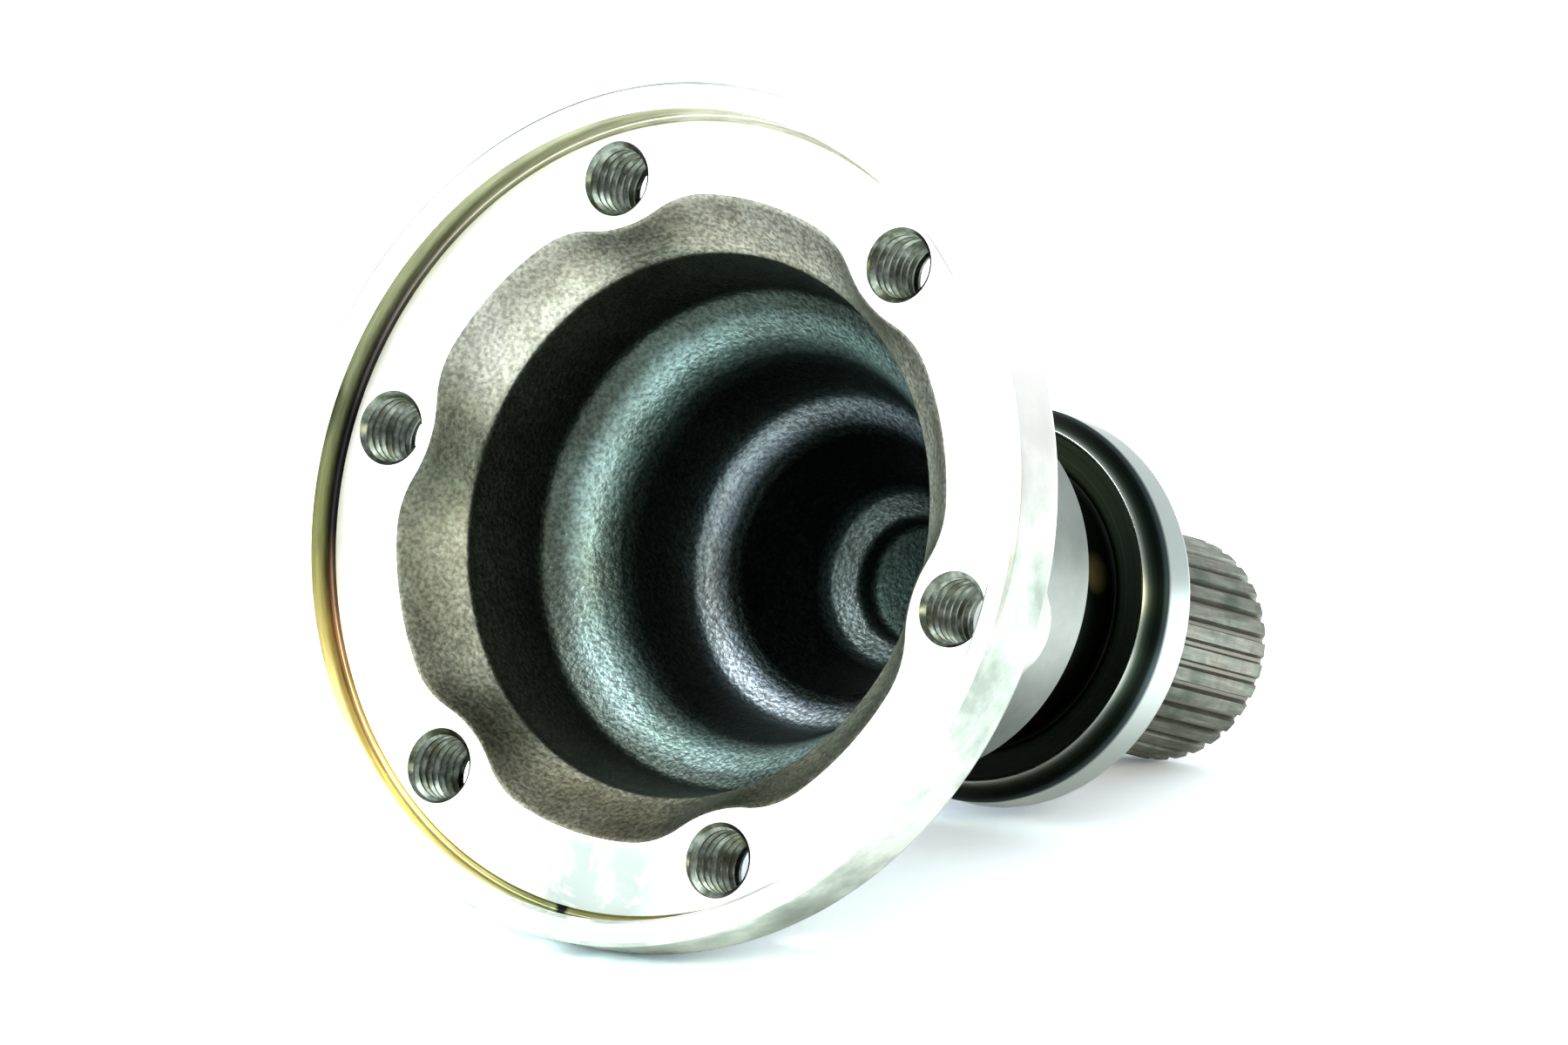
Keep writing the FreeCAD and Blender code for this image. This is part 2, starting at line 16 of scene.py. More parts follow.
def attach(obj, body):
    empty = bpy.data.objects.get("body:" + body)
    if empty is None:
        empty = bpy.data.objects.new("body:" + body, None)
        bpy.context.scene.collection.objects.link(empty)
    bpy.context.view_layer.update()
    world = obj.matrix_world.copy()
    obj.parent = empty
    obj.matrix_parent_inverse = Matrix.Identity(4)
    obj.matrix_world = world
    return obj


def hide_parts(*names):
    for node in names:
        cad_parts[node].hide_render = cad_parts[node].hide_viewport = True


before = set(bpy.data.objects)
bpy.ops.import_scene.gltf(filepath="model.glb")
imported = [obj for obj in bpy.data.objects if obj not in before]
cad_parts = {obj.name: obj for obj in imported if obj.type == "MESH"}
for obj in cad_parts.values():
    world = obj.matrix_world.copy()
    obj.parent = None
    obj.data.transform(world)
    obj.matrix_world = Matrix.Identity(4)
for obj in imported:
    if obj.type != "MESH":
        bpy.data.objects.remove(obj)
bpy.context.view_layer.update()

bl_info = {
    "name": "Differential output shaft",
    "version": (1, 0, 0),
    "blender": (4, 5, 0),
    "location": "3D View > Sidebar > Output shaft",
    "description": "Dresses the output shaft and its bearing and sets up the studio",
    "category": "Object",
}

MM = 0.001
SEGMENTS = 264
# Edges that bend by more degrees than this stay sharp in the shading
SHARP = 32

FORGED, FACED, STAINED, RIM, HUB, GROUND, SPLINE = range(7)

# The flange's rim, and the lobes of the mouth, which fade out down the cup and across the joint face
RIM_RADIUS = 57.5
RIM_BACK = 4.6
LOBES_DEPTH = 7
LOBES_INSIDE = 36
LOBES_OUTSIDE = 50
# The pads behind the tapped holes
PAD_TOP = 12.2
PAD_FOOT = 9.4
PAD_SLOPE = 1.9
# The bearing's two faces
BEARING_FRONT = 79.6
BEARING_REAR = 89.6
# The splines, which start outside the relief groove and rest on the floor near their end
RELIEF_EDGE = 14.25
TOOTH_FLOOR = 14.9
TOOTH_HEIGHT = 0.9
TOOTH_TIP = 15.8
TOOTH_REST = 127.5


def linear(code):
    """An sRGB hex colour as the linear RGBA that the nodes take."""
    channels = [int(code[i:i + 2], 16) / 255 for i in (1, 3, 5)]
    return [c / 12.92 if c <= 0.04045 else ((c + 0.055) / 1.055) ** 2.4 for c in channels] + [1.0]


class ShaftSettings(bpy.types.PropertyGroup):
    """Sizes of the shaft that a user would change."""

    bolt_circle: FloatProperty(
        name="Bolt circle", description="Diameter of the circle of tapped holes", default=0.094, unit="LENGTH"
    )
    bolt_count: IntProperty(name="Tapped holes", description="Number of tapped holes", default=6, min=1)
    thread_diameter: FloatProperty(
        name="Thread diameter", description="Outside diameter of the screw thread", default=0.010,
        unit="LENGTH"
    )
    thread_pitch: FloatProperty(
        name="Thread pitch", description="Distance from one thread to the next", default=0.0015, unit="LENGTH"
    )
    tap_drill: FloatProperty(
        name="Tap drill", description="Diameter of the hole before tapping", default=0.0085, unit="LENGTH"
    )
    countersink: FloatProperty(
        name="Countersink", description="Diameter of the hole's mouth in the joint face", default=0.0101,
        unit="LENGTH"
    )
    lobe_radius: FloatProperty(
        name="Lobe radius", description="Radius of the cup's mouth between two holes", default=0.0432,
        unit="LENGTH"
    )
    crest_radius: FloatProperty(
        name="Crest radius", description="Radius of the cup's mouth at a hole", default=0.0402, unit="LENGTH"
    )
    spline_teeth: IntProperty(name="Spline teeth", description="Number of teeth", default=33, min=3)


class FinishSettings(bpy.types.PropertyGroup):
    """Colours of the finishes that a user would change."""

    seal: FloatVectorProperty(
        name="Seal", description="Moulded rubber of the seals", subtype="COLOR", size=4,
        default=linear("#070b08")
    )
    floor: FloatVectorProperty(
        name="Floor", description="Pale floor", subtype="COLOR", size=4, default=linear("#ffffff")
    )


class StageSettings(bpy.types.PropertyGroup):
    """Light and lens of the studio."""

    lens: FloatProperty(name="Lens", description="Focal length in millimetres", default=315.8, min=10)
    room: FloatProperty(name="Room light", description="Strength of the white room", default=0.72, min=0)
    key: FloatProperty(name="Key light", description="Power of the large lamp in watts", default=46.0, min=0)
    fill: FloatProperty(name="Fill light", description="Power of the low lamp in watts", default=3.0, min=0)


# Node helpers


def join(tree, node, links):
    """Links the named or numbered inputs, each from a socket or from a node's first output in use."""
    for name, source in links.items():
        if isinstance(source, bpy.types.Node):
            source = next(socket for socket in source.outputs if socket.enabled)
        tree.links.new(source, node.inputs[name])


def add(tree, kind, settings=None, links=None):
    """Adds a node, sets its properties and free sockets, and joins its inputs."""
    node = tree.nodes.new(kind)
    for name, value in (settings or {}).items():
        if isinstance(name, int) or name in node.inputs:
            node.inputs[name].default_value = value
        else:
            setattr(node, name, value)
    join(tree, node, links or {})
    return node


def ramp(node, stops):
    """Sets the stops of a colour ramp from (position, hex colour) pairs."""
    elements = node.color_ramp.elements
    while len(elements) < len(stops):
        elements.new(1.0)
    for element, (position, code) in zip(elements, stops):
        element.position = position
        element.color = linear(code)
    return node


def start_material(name):
    """A material, its tree and surface shader, and the point's place, radius and separate axes."""
    material = bpy.data.materials.new(name)
    material.use_nodes = True
    tree = material.node_tree
    tree.nodes.clear()
    shader = add(tree, "ShaderNodeBsdfPrincipled")
    add(tree, "ShaderNodeOutputMaterial", links={"Surface": shader})
    place = add(tree, "ShaderNodeTexCoord").outputs["Object"]
    axes = add(tree, "ShaderNodeSeparateXYZ", links={"Vector": place}).outputs
    flat = add(tree, "ShaderNodeVectorMath", {"operation": "MULTIPLY", 1: (1.0, 0.0, 1.0)}, {0: place})
    radius = add(tree, "ShaderNodeVectorMath", {"operation": "LENGTH"}, {0: flat})
    return material, tree, shader, place, radius, axes


def axis_turn(tree, axes):
    """The turn about the shaft axis, from 0 at the top to pi or minus pi at the bottom."""
    return add(tree, "ShaderNodeMath", {"operation": "ARCTAN2"}, {0: axes["X"], 1: axes["Z"]})


def wound_place(tree, axes, radius, around_mm, along_mm):
    """A place that runs round the axis and along the profile, for marks that follow either way."""
    turn = axis_turn(tree, axes)
    arc = add(tree, "ShaderNodeMath", {"operation": "MULTIPLY"}, {0: turn, 1: radius})
    around = add(tree, "ShaderNodeMath", {"operation": "MULTIPLY", 1: 1 / (around_mm * MM)}, {0: arc})
    reach = add(tree, "ShaderNodeMath", {"operation": "SUBTRACT"}, {0: axes["Y"], 1: radius})
    along = add(tree, "ShaderNodeMath", {"operation": "MULTIPLY", 1: 1 / (along_mm * MM)}, {0: reach})
    return add(tree, "ShaderNodeCombineXYZ", links={"X": around, "Y": along})


def roughen(tree, shader, height, strength, depth_mm):
    """Fine relief of the surface, which the shader draws without geometry."""
    bump = add(tree, "ShaderNodeBump", {"Strength": strength, "Distance": depth_mm * MM}, {"Height": height})
    join(tree, shader, {"Normal": bump})


# Finishes


def forged_steel():
    """Hot forged steel, shot blasted and phosphated: matt grey grain, tinted blue deeper in the cup, with
    painted shade and highlights down the cup and across the mouth.
    """
    material, tree, shader, place, radius, axes = start_material("Forged steel, blasted and phosphated")
    cup_depth = 65 * MM
    depth = add(
        tree, "ShaderNodeMapRange", {"From Min": 0.0, "From Max": cup_depth}, {"Value": axes["Y"]}
    )
    # Painted shade and highlights by depth: the steep walls are painted near black as shade, and the
    # blue-grey shoulders carry painted highlight bands
    depth_shade_and_highlights = ramp(
        add(tree, "ShaderNodeValToRGB", links={"Fac": depth}),
        [
            (0.0, "#a2a8a0"),
            (0.03, "#9aa098"),
            (0.1, "#d3dacf"),
            (0.115, "#4c5347"),
            (0.3, "#343b36"),
            (0.325, "#55615d"),
            (0.345, "#5f6e6c"),
            (0.362, "#9cb9bb"),
            (0.385, "#d2f6f9"),
            (0.42, "#9cb8b8"),
            (0.45, "#3f4e4c"),
            (0.49, "#2a3432"),
            (0.55, "#2f3836"),
            (0.6, "#46524f"),
            (0.64, "#82929a"),
            (0.655, "#bfced9"),
            (0.672, "#76848f"),
            (0.685, "#222a29"),
            (0.74, "#1f2725"),
            (0.87, "#272f2d"),
            (0.905, "#7c8d92"),
            (0.93, "#a1b4b7"),
            (0.955, "#6a7c7a"),
            (1.0, "#324240"),
        ],
    )
    # Blasting leaves dimples of about half a millimetre, which sparkle where they catch the light
    grain = add(
        tree, "ShaderNodeTexNoise", {"Scale": 1 / (0.6 * MM), "Detail": 2.0, "Roughness": 0.5},
        {"Vector": place},
    )
    grit = ramp(
        add(tree, "ShaderNodeValToRGB", links={"Fac": grain}),
        [(0.34, "#b4b4b4"), (0.5, "#dddddd"), (0.66, "#ffffff")],
    )
    # Metal flow of the forging shows as soft streaks down the walls
    streak = add(
        tree,
        "ShaderNodeTexNoise",
        {"Scale": 1.0, "Detail": 2.0, "Roughness": 0.5},
        {"Vector": wound_place(tree, axes, radius, around_mm=1.3, along_mm=12.0)},
    )
    flow = ramp(
        add(tree, "ShaderNodeValToRGB", links={"Fac": streak}), [(0.3, "#e9e7e3"), (0.7, "#ffffff")]
    )
    patch = add(
        tree, "ShaderNodeTexNoise", {"Scale": 1 / (14.0 * MM), "Detail": 3.0, "Roughness": 0.55},
        {"Vector": place},
    )
    cloud = ramp(
        add(tree, "ShaderNodeValToRGB", links={"Fac": patch}),
        [(0.36, "#d2cec6"), (0.5, "#e9ebe6"), (0.64, "#ffffff")],
    )
    # Painted shade by height: the mouth is painted darker and browner towards the bottom, and the shoulders
    # darker towards the top
    height = add(
        tree, "ShaderNodeMapRange", {"From Min": -40 * MM, "From Max": 40 * MM}, {"Value": axes["Z"]}
    )
    mouth_shade_by_height = ramp(
        add(tree, "ShaderNodeValToRGB", links={"Fac": height}),
        [(0.0, "#b4aea4"), (0.45, "#cdd2cb"), (0.75, "#ffffff")],
    )
    # Painted highlight: the six lobes are painted brighter than the crests between them
    turn = axis_turn(tree, axes)
    six = add(tree, "ShaderNodeMath", {"operation": "MULTIPLY", 1: 6.0}, {0: turn})
    rise = add(tree, "ShaderNodeMath", {"operation": "COSINE"}, {0: six})
    lobe = add(tree, "ShaderNodeMapRange", {"From Min": -1.0, "From Max": 1.0}, {"Value": rise})
    lobe_highlight = ramp(
        add(tree, "ShaderNodeValToRGB", links={"Fac": lobe}), [(0.05, "#d0d2cd"), (0.6, "#ffffff")]
    )
    mouth = add(
        tree,
        "ShaderNodeMix",
        {"data_type": "RGBA", "blend_type": "MULTIPLY", "Factor": 1.0},
        {6: mouth_shade_by_height, 7: lobe_highlight},
    )
    # Painted shade: the cup's shoulders are painted darker towards the top
    inside = ramp(
        add(tree, "ShaderNodeValToRGB", links={"Fac": height}),
        [(0.2, "#ffffff"), (0.6, "#dde2e1"), (0.9, "#d6dede")],
    )
    # The mouth's own look, with its painted shade and highlights, gives way to the cup's painted shade just
    # below the lobes
    deep = add(
        tree, "ShaderNodeMapRange", {"From Min": 6 * MM, "From Max": 9 * MM}, {"Value": axes["Y"]}
    )
    painted_height_and_lobe_shading = add(tree, "ShaderNodeMix", {"data_type": "RGBA"}, {"Factor": deep, 6: mouth, 7: inside})
    mixed = depth_shade_and_highlights
    for layer in (grit, flow, cloud, painted_height_and_lobe_shading):
        mixed = add(
            tree,
            "ShaderNodeMix",
            {"data_type": "RGBA", "blend_type": "MULTIPLY", "Factor": 1.0},
            {6: mixed, 7: layer},
        )
    join(tree, shader, {"Base Color": mixed})
    rough = add(tree, "ShaderNodeMapRange", {"To Min": 0.38, "To Max": 0.56}, {"Value": grain})
    join(tree, shader, {"Roughness": rough})
    coarse = add(tree, "ShaderNodeMapRange", {"To Min": 0.45, "To Max": 1.0}, {"Value": deep})
    bump = add(tree, "ShaderNodeBump", {"Distance": 0.16 * MM}, {"Strength": coarse, "Height": grain})
    wave = add(
        tree, "ShaderNodeBump", {"Strength": 0.6, "Distance": 0.5 * MM}, {"Height": patch, "Normal": bump}
    )
    join(tree, shader, {"Normal": wave})
    shader.inputs["Metallic"].default_value = 1.0
    return material


def turned_steel(name, stops, patch_mm, roughness, feed_mm, cut_depth, stain_and_painted_light=None):
    """Bare steel cut on a lathe: fine rings from the tool, soft clouds of oxide and optional patches, which
    are stains on some parts and painted light on others.

    stain is (middle, reach, hex colour, bare share): its patches thin out from the middle to the reach.
    """
    material, tree, shader, place, radius, axes = start_material(name)
    patch = add(
        tree,
        "ShaderNodeTexNoise",
        {"Scale": 1 / (patch_mm * MM), "Detail": 5.0, "Roughness": 0.62},
        {"Vector": place},
    )
    colour = ramp(add(tree, "ShaderNodeValToRGB", links={"Fac": patch}), stops)
    if stain_and_painted_light:
        middle, reach, code, bare = stain_and_painted_light
        away = add(tree, "ShaderNodeVectorMath", {"operation": "DISTANCE", 1: middle}, {0: place})
        fade = add(
            tree,
            "ShaderNodeMapRange",
            {"From Min": reach, "From Max": reach * 0.4, "To Min": 0.0, "To Max": 1.0},
            {"Value": away},
        )
        spots = add(
            tree,
            "ShaderNodeTexNoise",
            {"Scale": 1 / (7.0 * MM), "Detail": 6.0, "Roughness": 0.65, "Distortion": 0.6},
            {"Vector": place},
        )
        edge = ramp(
            add(tree, "ShaderNodeValToRGB", links={"Fac": spots}),
            [(bare, "#000000"), (bare + 0.14, "#ffffff")],
        )
        amount = add(tree, "ShaderNodeMath", {"operation": "MULTIPLY"}, {0: fade, 1: edge})
        colour = add(
            tree, "ShaderNodeMix", {"data_type": "RGBA", 7: linear(code)}, {"Factor": amount, 6: colour}
        )
    join(tree, shader, {"Base Color": colour})
    # The real feed is finer than a pixel, so the rings are drawn as coarse as they need to show
    reach = add(tree, "ShaderNodeMath", {"operation": "ADD"}, {0: radius, 1: axes["Y"]})
    feed = add(tree, "ShaderNodeMath", {"operation": "MULTIPLY", 1: 1 / (feed_mm * MM)}, {0: reach})
    rings = add(
        tree, "ShaderNodeTexNoise", {"noise_dimensions": "1D", "Scale": 1.0, "Detail": 2.0}, {"W": feed}
    )
    roughen(tree, shader, rings, strength=0.5, depth_mm=cut_depth)
    rough = add(
        tree,
        "ShaderNodeMapRange",
        {"To Min": roughness * 0.8, "To Max": roughness * 1.25},
        {"Value": patch},
    )
    join(tree, shader, {"Roughness": rough})
    shader.inputs["Metallic"].default_value = 1.0
    return material


def bevelled_ring():
    """Ground bearing steel: painted highlight on the inner edge, painted shade across the front bevel, pale
    ground outside.
    """
    material, tree, shader, _, _, axes = start_material("Bearing steel, ground, with a black bevel")
    # The bands run from the ring's front edge to just behind its bevel: a painted highlight at the edge, then
    # painted shade across the bevel
    front = add(
        tree, "ShaderNodeMapRange", {"From Min": 79.5 * MM, "From Max": 83.2 * MM}, {"Value": axes["Y"]}
    )
    edge_highlight_and_bevel_shade = ramp(
        add(tree, "ShaderNodeValToRGB", links={"Fac": front}),
        [
            (0.0, "#a4aba4"),
            (0.05, "#8b948d"),
            (0.12, "#5b655e"),
            (0.2, "#2f3831"),
            (0.32, "#161e18"),
            (0.48, "#0a100c"),
            (0.62, "#0f1613"),
            (0.72, "#333e40"),
            (0.82, "#3c4748"),
            (0.92, "#8a9797"),
            (1.0, "#b2c1be"),
        ],
    )
    join(tree, shader, {"Base Color": edge_highlight_and_bevel_shade})
    shader.inputs["Metallic"].default_value = 1.0
    shader.inputs["Roughness"].default_value = 0.22
    return material


def stained_register():
    """Turned steel under dried oil: olive to gold film, thicker low down, with painted light and shade in the
    groove at the foot, pale at the top and purple-black at the sides.
    """
    material, tree, shader, place, radius, axes = start_material("Turned steel under dried oil")
    film = add(
        tree,
        "ShaderNodeTexNoise",
        {"Scale": 1.0, "Detail": 4.0, "Roughness": 0.6},
        {"Vector": wound_place(tree, axes, radius, around_mm=9.0, along_mm=1.2)},
    )
    cloud = ramp(
        add(tree, "ShaderNodeValToRGB", links={"Fac": film}), [(0.32, "#c2bfb4"), (0.66, "#ffffff")]
    )
    # Oil ran down and dried: thin and pale at the top, olive at the sides, gold near the bottom
    turn = axis_turn(tree, axes)
    down = add(tree, "ShaderNodeMath", {"operation": "ABSOLUTE"}, {0: turn})
    share = add(tree, "ShaderNodeMapRange", {"From Min": 0.0, "From Max": math.pi}, {"Value": down})
    oil = ramp(
        add(tree, "ShaderNodeValToRGB", links={"Fac": share}),
        [
            (0.0, "#c9cfba"),
            (0.10, "#9aa47e"),
            (0.30, "#727a58"),
            (0.50, "#6f7855"),
            (0.60, "#7c8450"),
            (0.67, "#a3974e"),
            (0.85, "#a89f5a"),
            (1.0, "#858c66"),
        ],
    )
    # Painted light and shade in the groove at the foot: pale at the top where it is lit, purple-black at the
    # sides as painted shade
    foot = ramp(
        add(tree, "ShaderNodeValToRGB", links={"Fac": share}),
        [
            (0.0, "#f0f4ea"),
            (0.25, "#a5a892"),
            (0.42, "#5c5a58"),
            (0.50, "#25282c"),
            (0.59, "#2f2b30"),
            (0.67, "#94785c"),
            (0.80, "#b5a874"),
            (1.0, "#838b66"),
        ],
    )
    depth = add(
        tree, "ShaderNodeMapRange", {"From Min": -1.2 * MM, "From Max": 0.0}, {"Value": axes["Y"]}
    )
    tinted = add(tree, "ShaderNodeMix", {"data_type": "RGBA"}, {"Factor": depth, 6: oil, 7: foot})
    colour = add(
        tree,
        "ShaderNodeMix",
        {"data_type": "RGBA", "blend_type": "MULTIPLY", "Factor": 1.0},
        {6: tinted, 7: cloud},
    )
    # A crumb of dried dirt sits in the groove near the bottom
    crumb_place = (0.0018, 0.0, -0.0533)
    away = add(tree, "ShaderNodeVectorMath", {"operation": "DISTANCE", 1: crumb_place}, {0: place})
    crumb = add(tree, "ShaderNodeMapRange", {"From Min": 1.2 * MM, "From Max": 0.7 * MM}, {"Value": away})
    colour = add(
        tree, "ShaderNodeMix", {"data_type": "RGBA", 7: linear("#0c0e0b")}, {"Factor": crumb, 6: colour}
    )
    join(tree, shader, {"Base Color": colour})
    roughen(tree, shader, film, strength=0.3, depth_mm=0.05)
    shader.inputs["Metallic"].default_value = 0.85
    shader.inputs["Roughness"].default_value = 0.3
    return material


def hobbed_spline():
    """Hobbed and hardened steel: grey crests with drag marks, and a flat grey in the tooth spaces as painted
    light that softens their shade.
    """
    material, tree, shader, place, radius, axes = start_material("Hobbed spline steel")
    drag = add(
        tree,
        "ShaderNodeTexNoise",
        {"Scale": 1.0, "Detail": 4.0, "Roughness": 0.6},
        {"Vector": wound_place(tree, axes, radius, around_mm=0.7, along_mm=9.0)},
    )
    crest = ramp(
        add(tree, "ShaderNodeValToRGB", links={"Fac": drag}),
        [(0.25, "#62665e"), (0.5, "#7a8078"), (0.75, "#98a199")],
    )
    film = add(
        tree, "ShaderNodeTexNoise", {"Scale": 1 / (6.0 * MM), "Detail": 4.0, "Roughness": 0.6},
        {"Vector": place},
    )
    tinge = ramp(
        add(tree, "ShaderNodeValToRGB", links={"Fac": film}),
        [(0.35, "#b9c8bd"), (0.55, "#ffffff"), (0.70, "#dccfc2")],
    )
    worn = add(
        tree,
        "ShaderNodeMix",
        {"data_type": "RGBA", "blend_type": "MULTIPLY", "Factor": 1.0},
        {6: crest, 7: tinge},
    )
    # Painted light: the tooth spaces take a flat grey that softens the shade in them
    deep = add(
        tree, "ShaderNodeMapRange", {"From Min": 15.7 * MM, "From Max": 14.8 * MM}, {"Value": radius}
    )
    colour = add(
        tree, "ShaderNodeMix", {"data_type": "RGBA", 7: linear("#74746b")}, {"Factor": deep, 6: worn}
    )
    join(tree, shader, {"Base Color": colour})
    roughen(tree, shader, drag, strength=0.35, depth_mm=0.06)
    shader.inputs["Metallic"].default_value = 0.95
    shader.inputs["Roughness"].default_value = 0.42
    return material


def cut_thread():
    """Thread cut by a tap, with old oil left in it: grey flanks that shine, olive in patches."""
    material, tree, shader, place, _, _ = start_material("Cut thread steel")
    film = add(
        tree, "ShaderNodeTexNoise", {"Scale": 1 / (2.5 * MM), "Detail": 3.0, "Roughness": 0.6},
        {"Vector": place},
    )
    colour = ramp(
        add(tree, "ShaderNodeValToRGB", links={"Fac": film}),
        [(0.35, "#35392c"), (0.5, "#4c544c"), (0.65, "#6f7971")],
    )
    join(tree, shader, {"Base Color": colour})
    roughen(tree, shader, film, strength=0.3, depth_mm=0.04)
    shader.inputs["Metallic"].default_value = 1.0
    shader.inputs["Roughness"].default_value = 0.28
    return material


def moulded_rubber(colour):
    """Nitrile rubber moulded on a steel washer: green-black satin with a fine matt grain."""
    material, tree, shader, place, _, axes = start_material("Nitrile rubber, moulded")
    grain = add(
        tree, "ShaderNodeTexNoise", {"Scale": 1 / (0.35 * MM), "Detail": 3.0, "Roughness": 0.6},
        {"Vector": place},
    )
    bloom = add(
        tree, "ShaderNodeTexNoise", {"Scale": 1 / (6.0 * MM), "Detail": 3.0, "Roughness": 0.6},
        {"Vector": place},
    )
    dusty = add(
        tree,
        "ShaderNodeMix",
        {"data_type": "RGBA", 6: list(colour), 7: linear("#0b100c")},
        {"Factor": bloom},
    )
    # Painted light: the upper part, out of the hub's shadow, is painted lighter and a little more olive than
    # the rubber
    lit_top = add(
        tree, "ShaderNodeMapRange", {"From Min": 8 * MM, "From Max": 22 * MM}, {"Value": axes["Z"]}
    )
    painted_shading = add(
        tree, "ShaderNodeMix", {"data_type": "RGBA", 7: linear("#10140b")}, {"Factor": lit_top, 6: dusty}
    )
    join(tree, shader, {"Base Color": painted_shading})
    rough = add(tree, "ShaderNodeMapRange", {"To Min": 0.6, "To Max": 0.75}, {"Value": bloom})
    join(tree, shader, {"Roughness": rough})
    roughen(tree, shader, grain, strength=0.25, depth_mm=0.03)
    shader.inputs["IOR"].default_value = 1.3
    shader.inputs["Specular Tint"].default_value = linear("#9fc4a8")
    return material


def phosphated_spring():
    """Spring steel with a dark phosphate coat: matt charcoal, rubbed brighter in spots."""
    material, tree, shader, place, _, _ = start_material("Spring steel, phosphated")
    rub = add(
        tree, "ShaderNodeTexNoise", {"Scale": 1 / (1.8 * MM), "Detail": 5.0, "Roughness": 0.65},
        {"Vector": place},
    )
    colour = ramp(
        add(tree, "ShaderNodeValToRGB", links={"Fac": rub}),
        [(0.35, "#3a3b3d"), (0.6, "#57585b"), (0.78, "#8d8f92")],
    )
    join(tree, shader, {"Base Color": colour})
    roughen(tree, shader, rub, strength=0.3, depth_mm=0.04)
    shader.inputs["Metallic"].default_value = 0.8
    shader.inputs["Roughness"].default_value = 0.45
    return material


def studio_floor(colour):
    """Matt white sheet that shows pure white to the camera and keeps the shadow of the contact."""
    material = bpy.data.materials.new("White paper floor")
    material.use_nodes = True
    tree = material.node_tree
    tree.nodes.clear()
    # How strongly the paper lights the steel, mirrors in it and shows to the camera
    lit = [c * 0.8 for c in colour[:3]] + [1.0]
    mirrored = [c * 1.4 for c in colour[:3]] + [1.0]
    seen = [2.15, 2.35, 2.6, 1.0]
    rays = add(tree, "ShaderNodeLightPath")
    unseen = add(
        tree,
        "ShaderNodeMix",
        {"data_type": "RGBA", 6: lit, 7: mirrored},
        {"Factor": rays.outputs["Is Glossy Ray"]},
    )
    paper = add(
        tree,
        "ShaderNodeMix",
        {"data_type": "RGBA", 7: seen},
        {"Factor": rays.outputs["Is Camera Ray"], 6: unseen},
    )
    diffuse = add(tree, "ShaderNodeBsdfDiffuse", links={"Color": paper})
    # Seen from below, the sheet is clear
    clear = add(tree, "ShaderNodeBsdfTransparent")
    behind = add(tree, "ShaderNodeNewGeometry")
    choice = add(tree, "ShaderNodeMixShader", links={0: behind.outputs["Backfacing"], 1: diffuse, 2: clear})
    add(tree, "ShaderNodeOutputMaterial", links={"Surface": choice})
    return material


# Shapes


def rounded_chain(corners, closed=False, steps=6):
    """(radius, place, finish) points along corners given as (radius, place, round, finish).

    Each corner is rounded by an arc. The finish is that of the stretch which starts at the point.
    """
    points = []
    count = len(corners)
    for index, (radius, place, round_, finish) in enumerate(corners):
        here = Vector((radius, place))
        last = corners[index - 1][3]
        if round_ == 0 or (not closed and index in (0, count - 1)):
            points.append((radius, place, finish))
            continue
        back = Vector(corners[index - 1][:2]) - here
        ahead = Vector(corners[(index + 1) % count][:2]) - here
        room = 0.48 * min(back.length, ahead.length)
        back.normalize()
        ahead.normalize()
        angle = math.acos(max(-1.0, min(1.0, back.dot(ahead))))
        reach = min(round_ / math.tan(angle / 2), room)
        bend = reach * math.tan(angle / 2)
        middle = here + (back + ahead).normalized() * (bend / math.sin(angle / 2))
        start = here + back * reach - middle
        end = here + ahead * reach - middle
        sweep = start.angle_signed(end)
        for step in range(steps + 1):
            spoke = start.copy()
            spoke.rotate(Matrix.Rotation(-sweep * step / steps, 2))
            point = middle + spoke
            points.append((point.x, point.y, last if step * 2 < steps else finish))
    return points


def divided(points, longest, closed=False):
    """The points with their stretches cut so that none is longer than the finish's own limit."""
    result = []
    count = len(points)
    for index in range(count if closed else count - 1):
        radius, place, finish = points[index]
        next_radius, next_place, _ = points[(index + 1) % count]
        length = math.hypot(next_radius - radius, next_place - place)
        parts = max(1, math.ceil(length / longest.get(finish, 1000.0)))
        for part in range(parts):
            share = part / parts
            result.append(
                (radius + (next_radius - radius) * share, place + (next_place - place) * share, finish)
            )
    if not closed:
        result.append(points[-1])
    return result


def turned_mesh(name, points, materials, closed=False, shape=None):
    """Turns the points about the shaft axis. shape(point, turns) may give radius, place and turn."""
    turns = np.arange(SEGMENTS) * 2 * math.pi / SEGMENTS
    vertices = []
    rows = []
    for point in points:
        radius, place, _ = point
        if radius < 1e-6:
            rows.append([len(vertices)])
            vertices.append((0.0, place * MM, 0.0))
            continue
        radii, places, angles = np.full(SEGMENTS, radius), np.full(SEGMENTS, place), turns
        if shape:
            radii, places, angles = shape(point, turns)
        rows.append(list(range(len(vertices), len(vertices) + SEGMENTS)))
        ring = np.stack([radii * np.sin(angles), places, radii * np.cos(angles)], axis=1) * MM
        vertices += ring.tolist()
    faces = []
    finishes = []
    for index in range(len(rows) if closed else len(rows) - 1):
        near, far = rows[index], rows[(index + 1) % len(rows)]
        for k in range(SEGMENTS):
            following = (k + 1) % SEGMENTS
            corners = ((near, k), (near, following), (far, following), (far, k))
            loop = [row[step % len(row)] for row, step in corners]
            faces.append(list(dict.fromkeys(loop)))
            finishes.append(points[index][2])
    mesh = bpy.data.meshes.new(name)
    mesh.from_pydata(vertices, [], faces)
    for material in materials:
        mesh.materials.append(material)
    mesh.polygons.foreach_set("material_index", finishes)
    tidy_mesh(mesh)
    return mesh


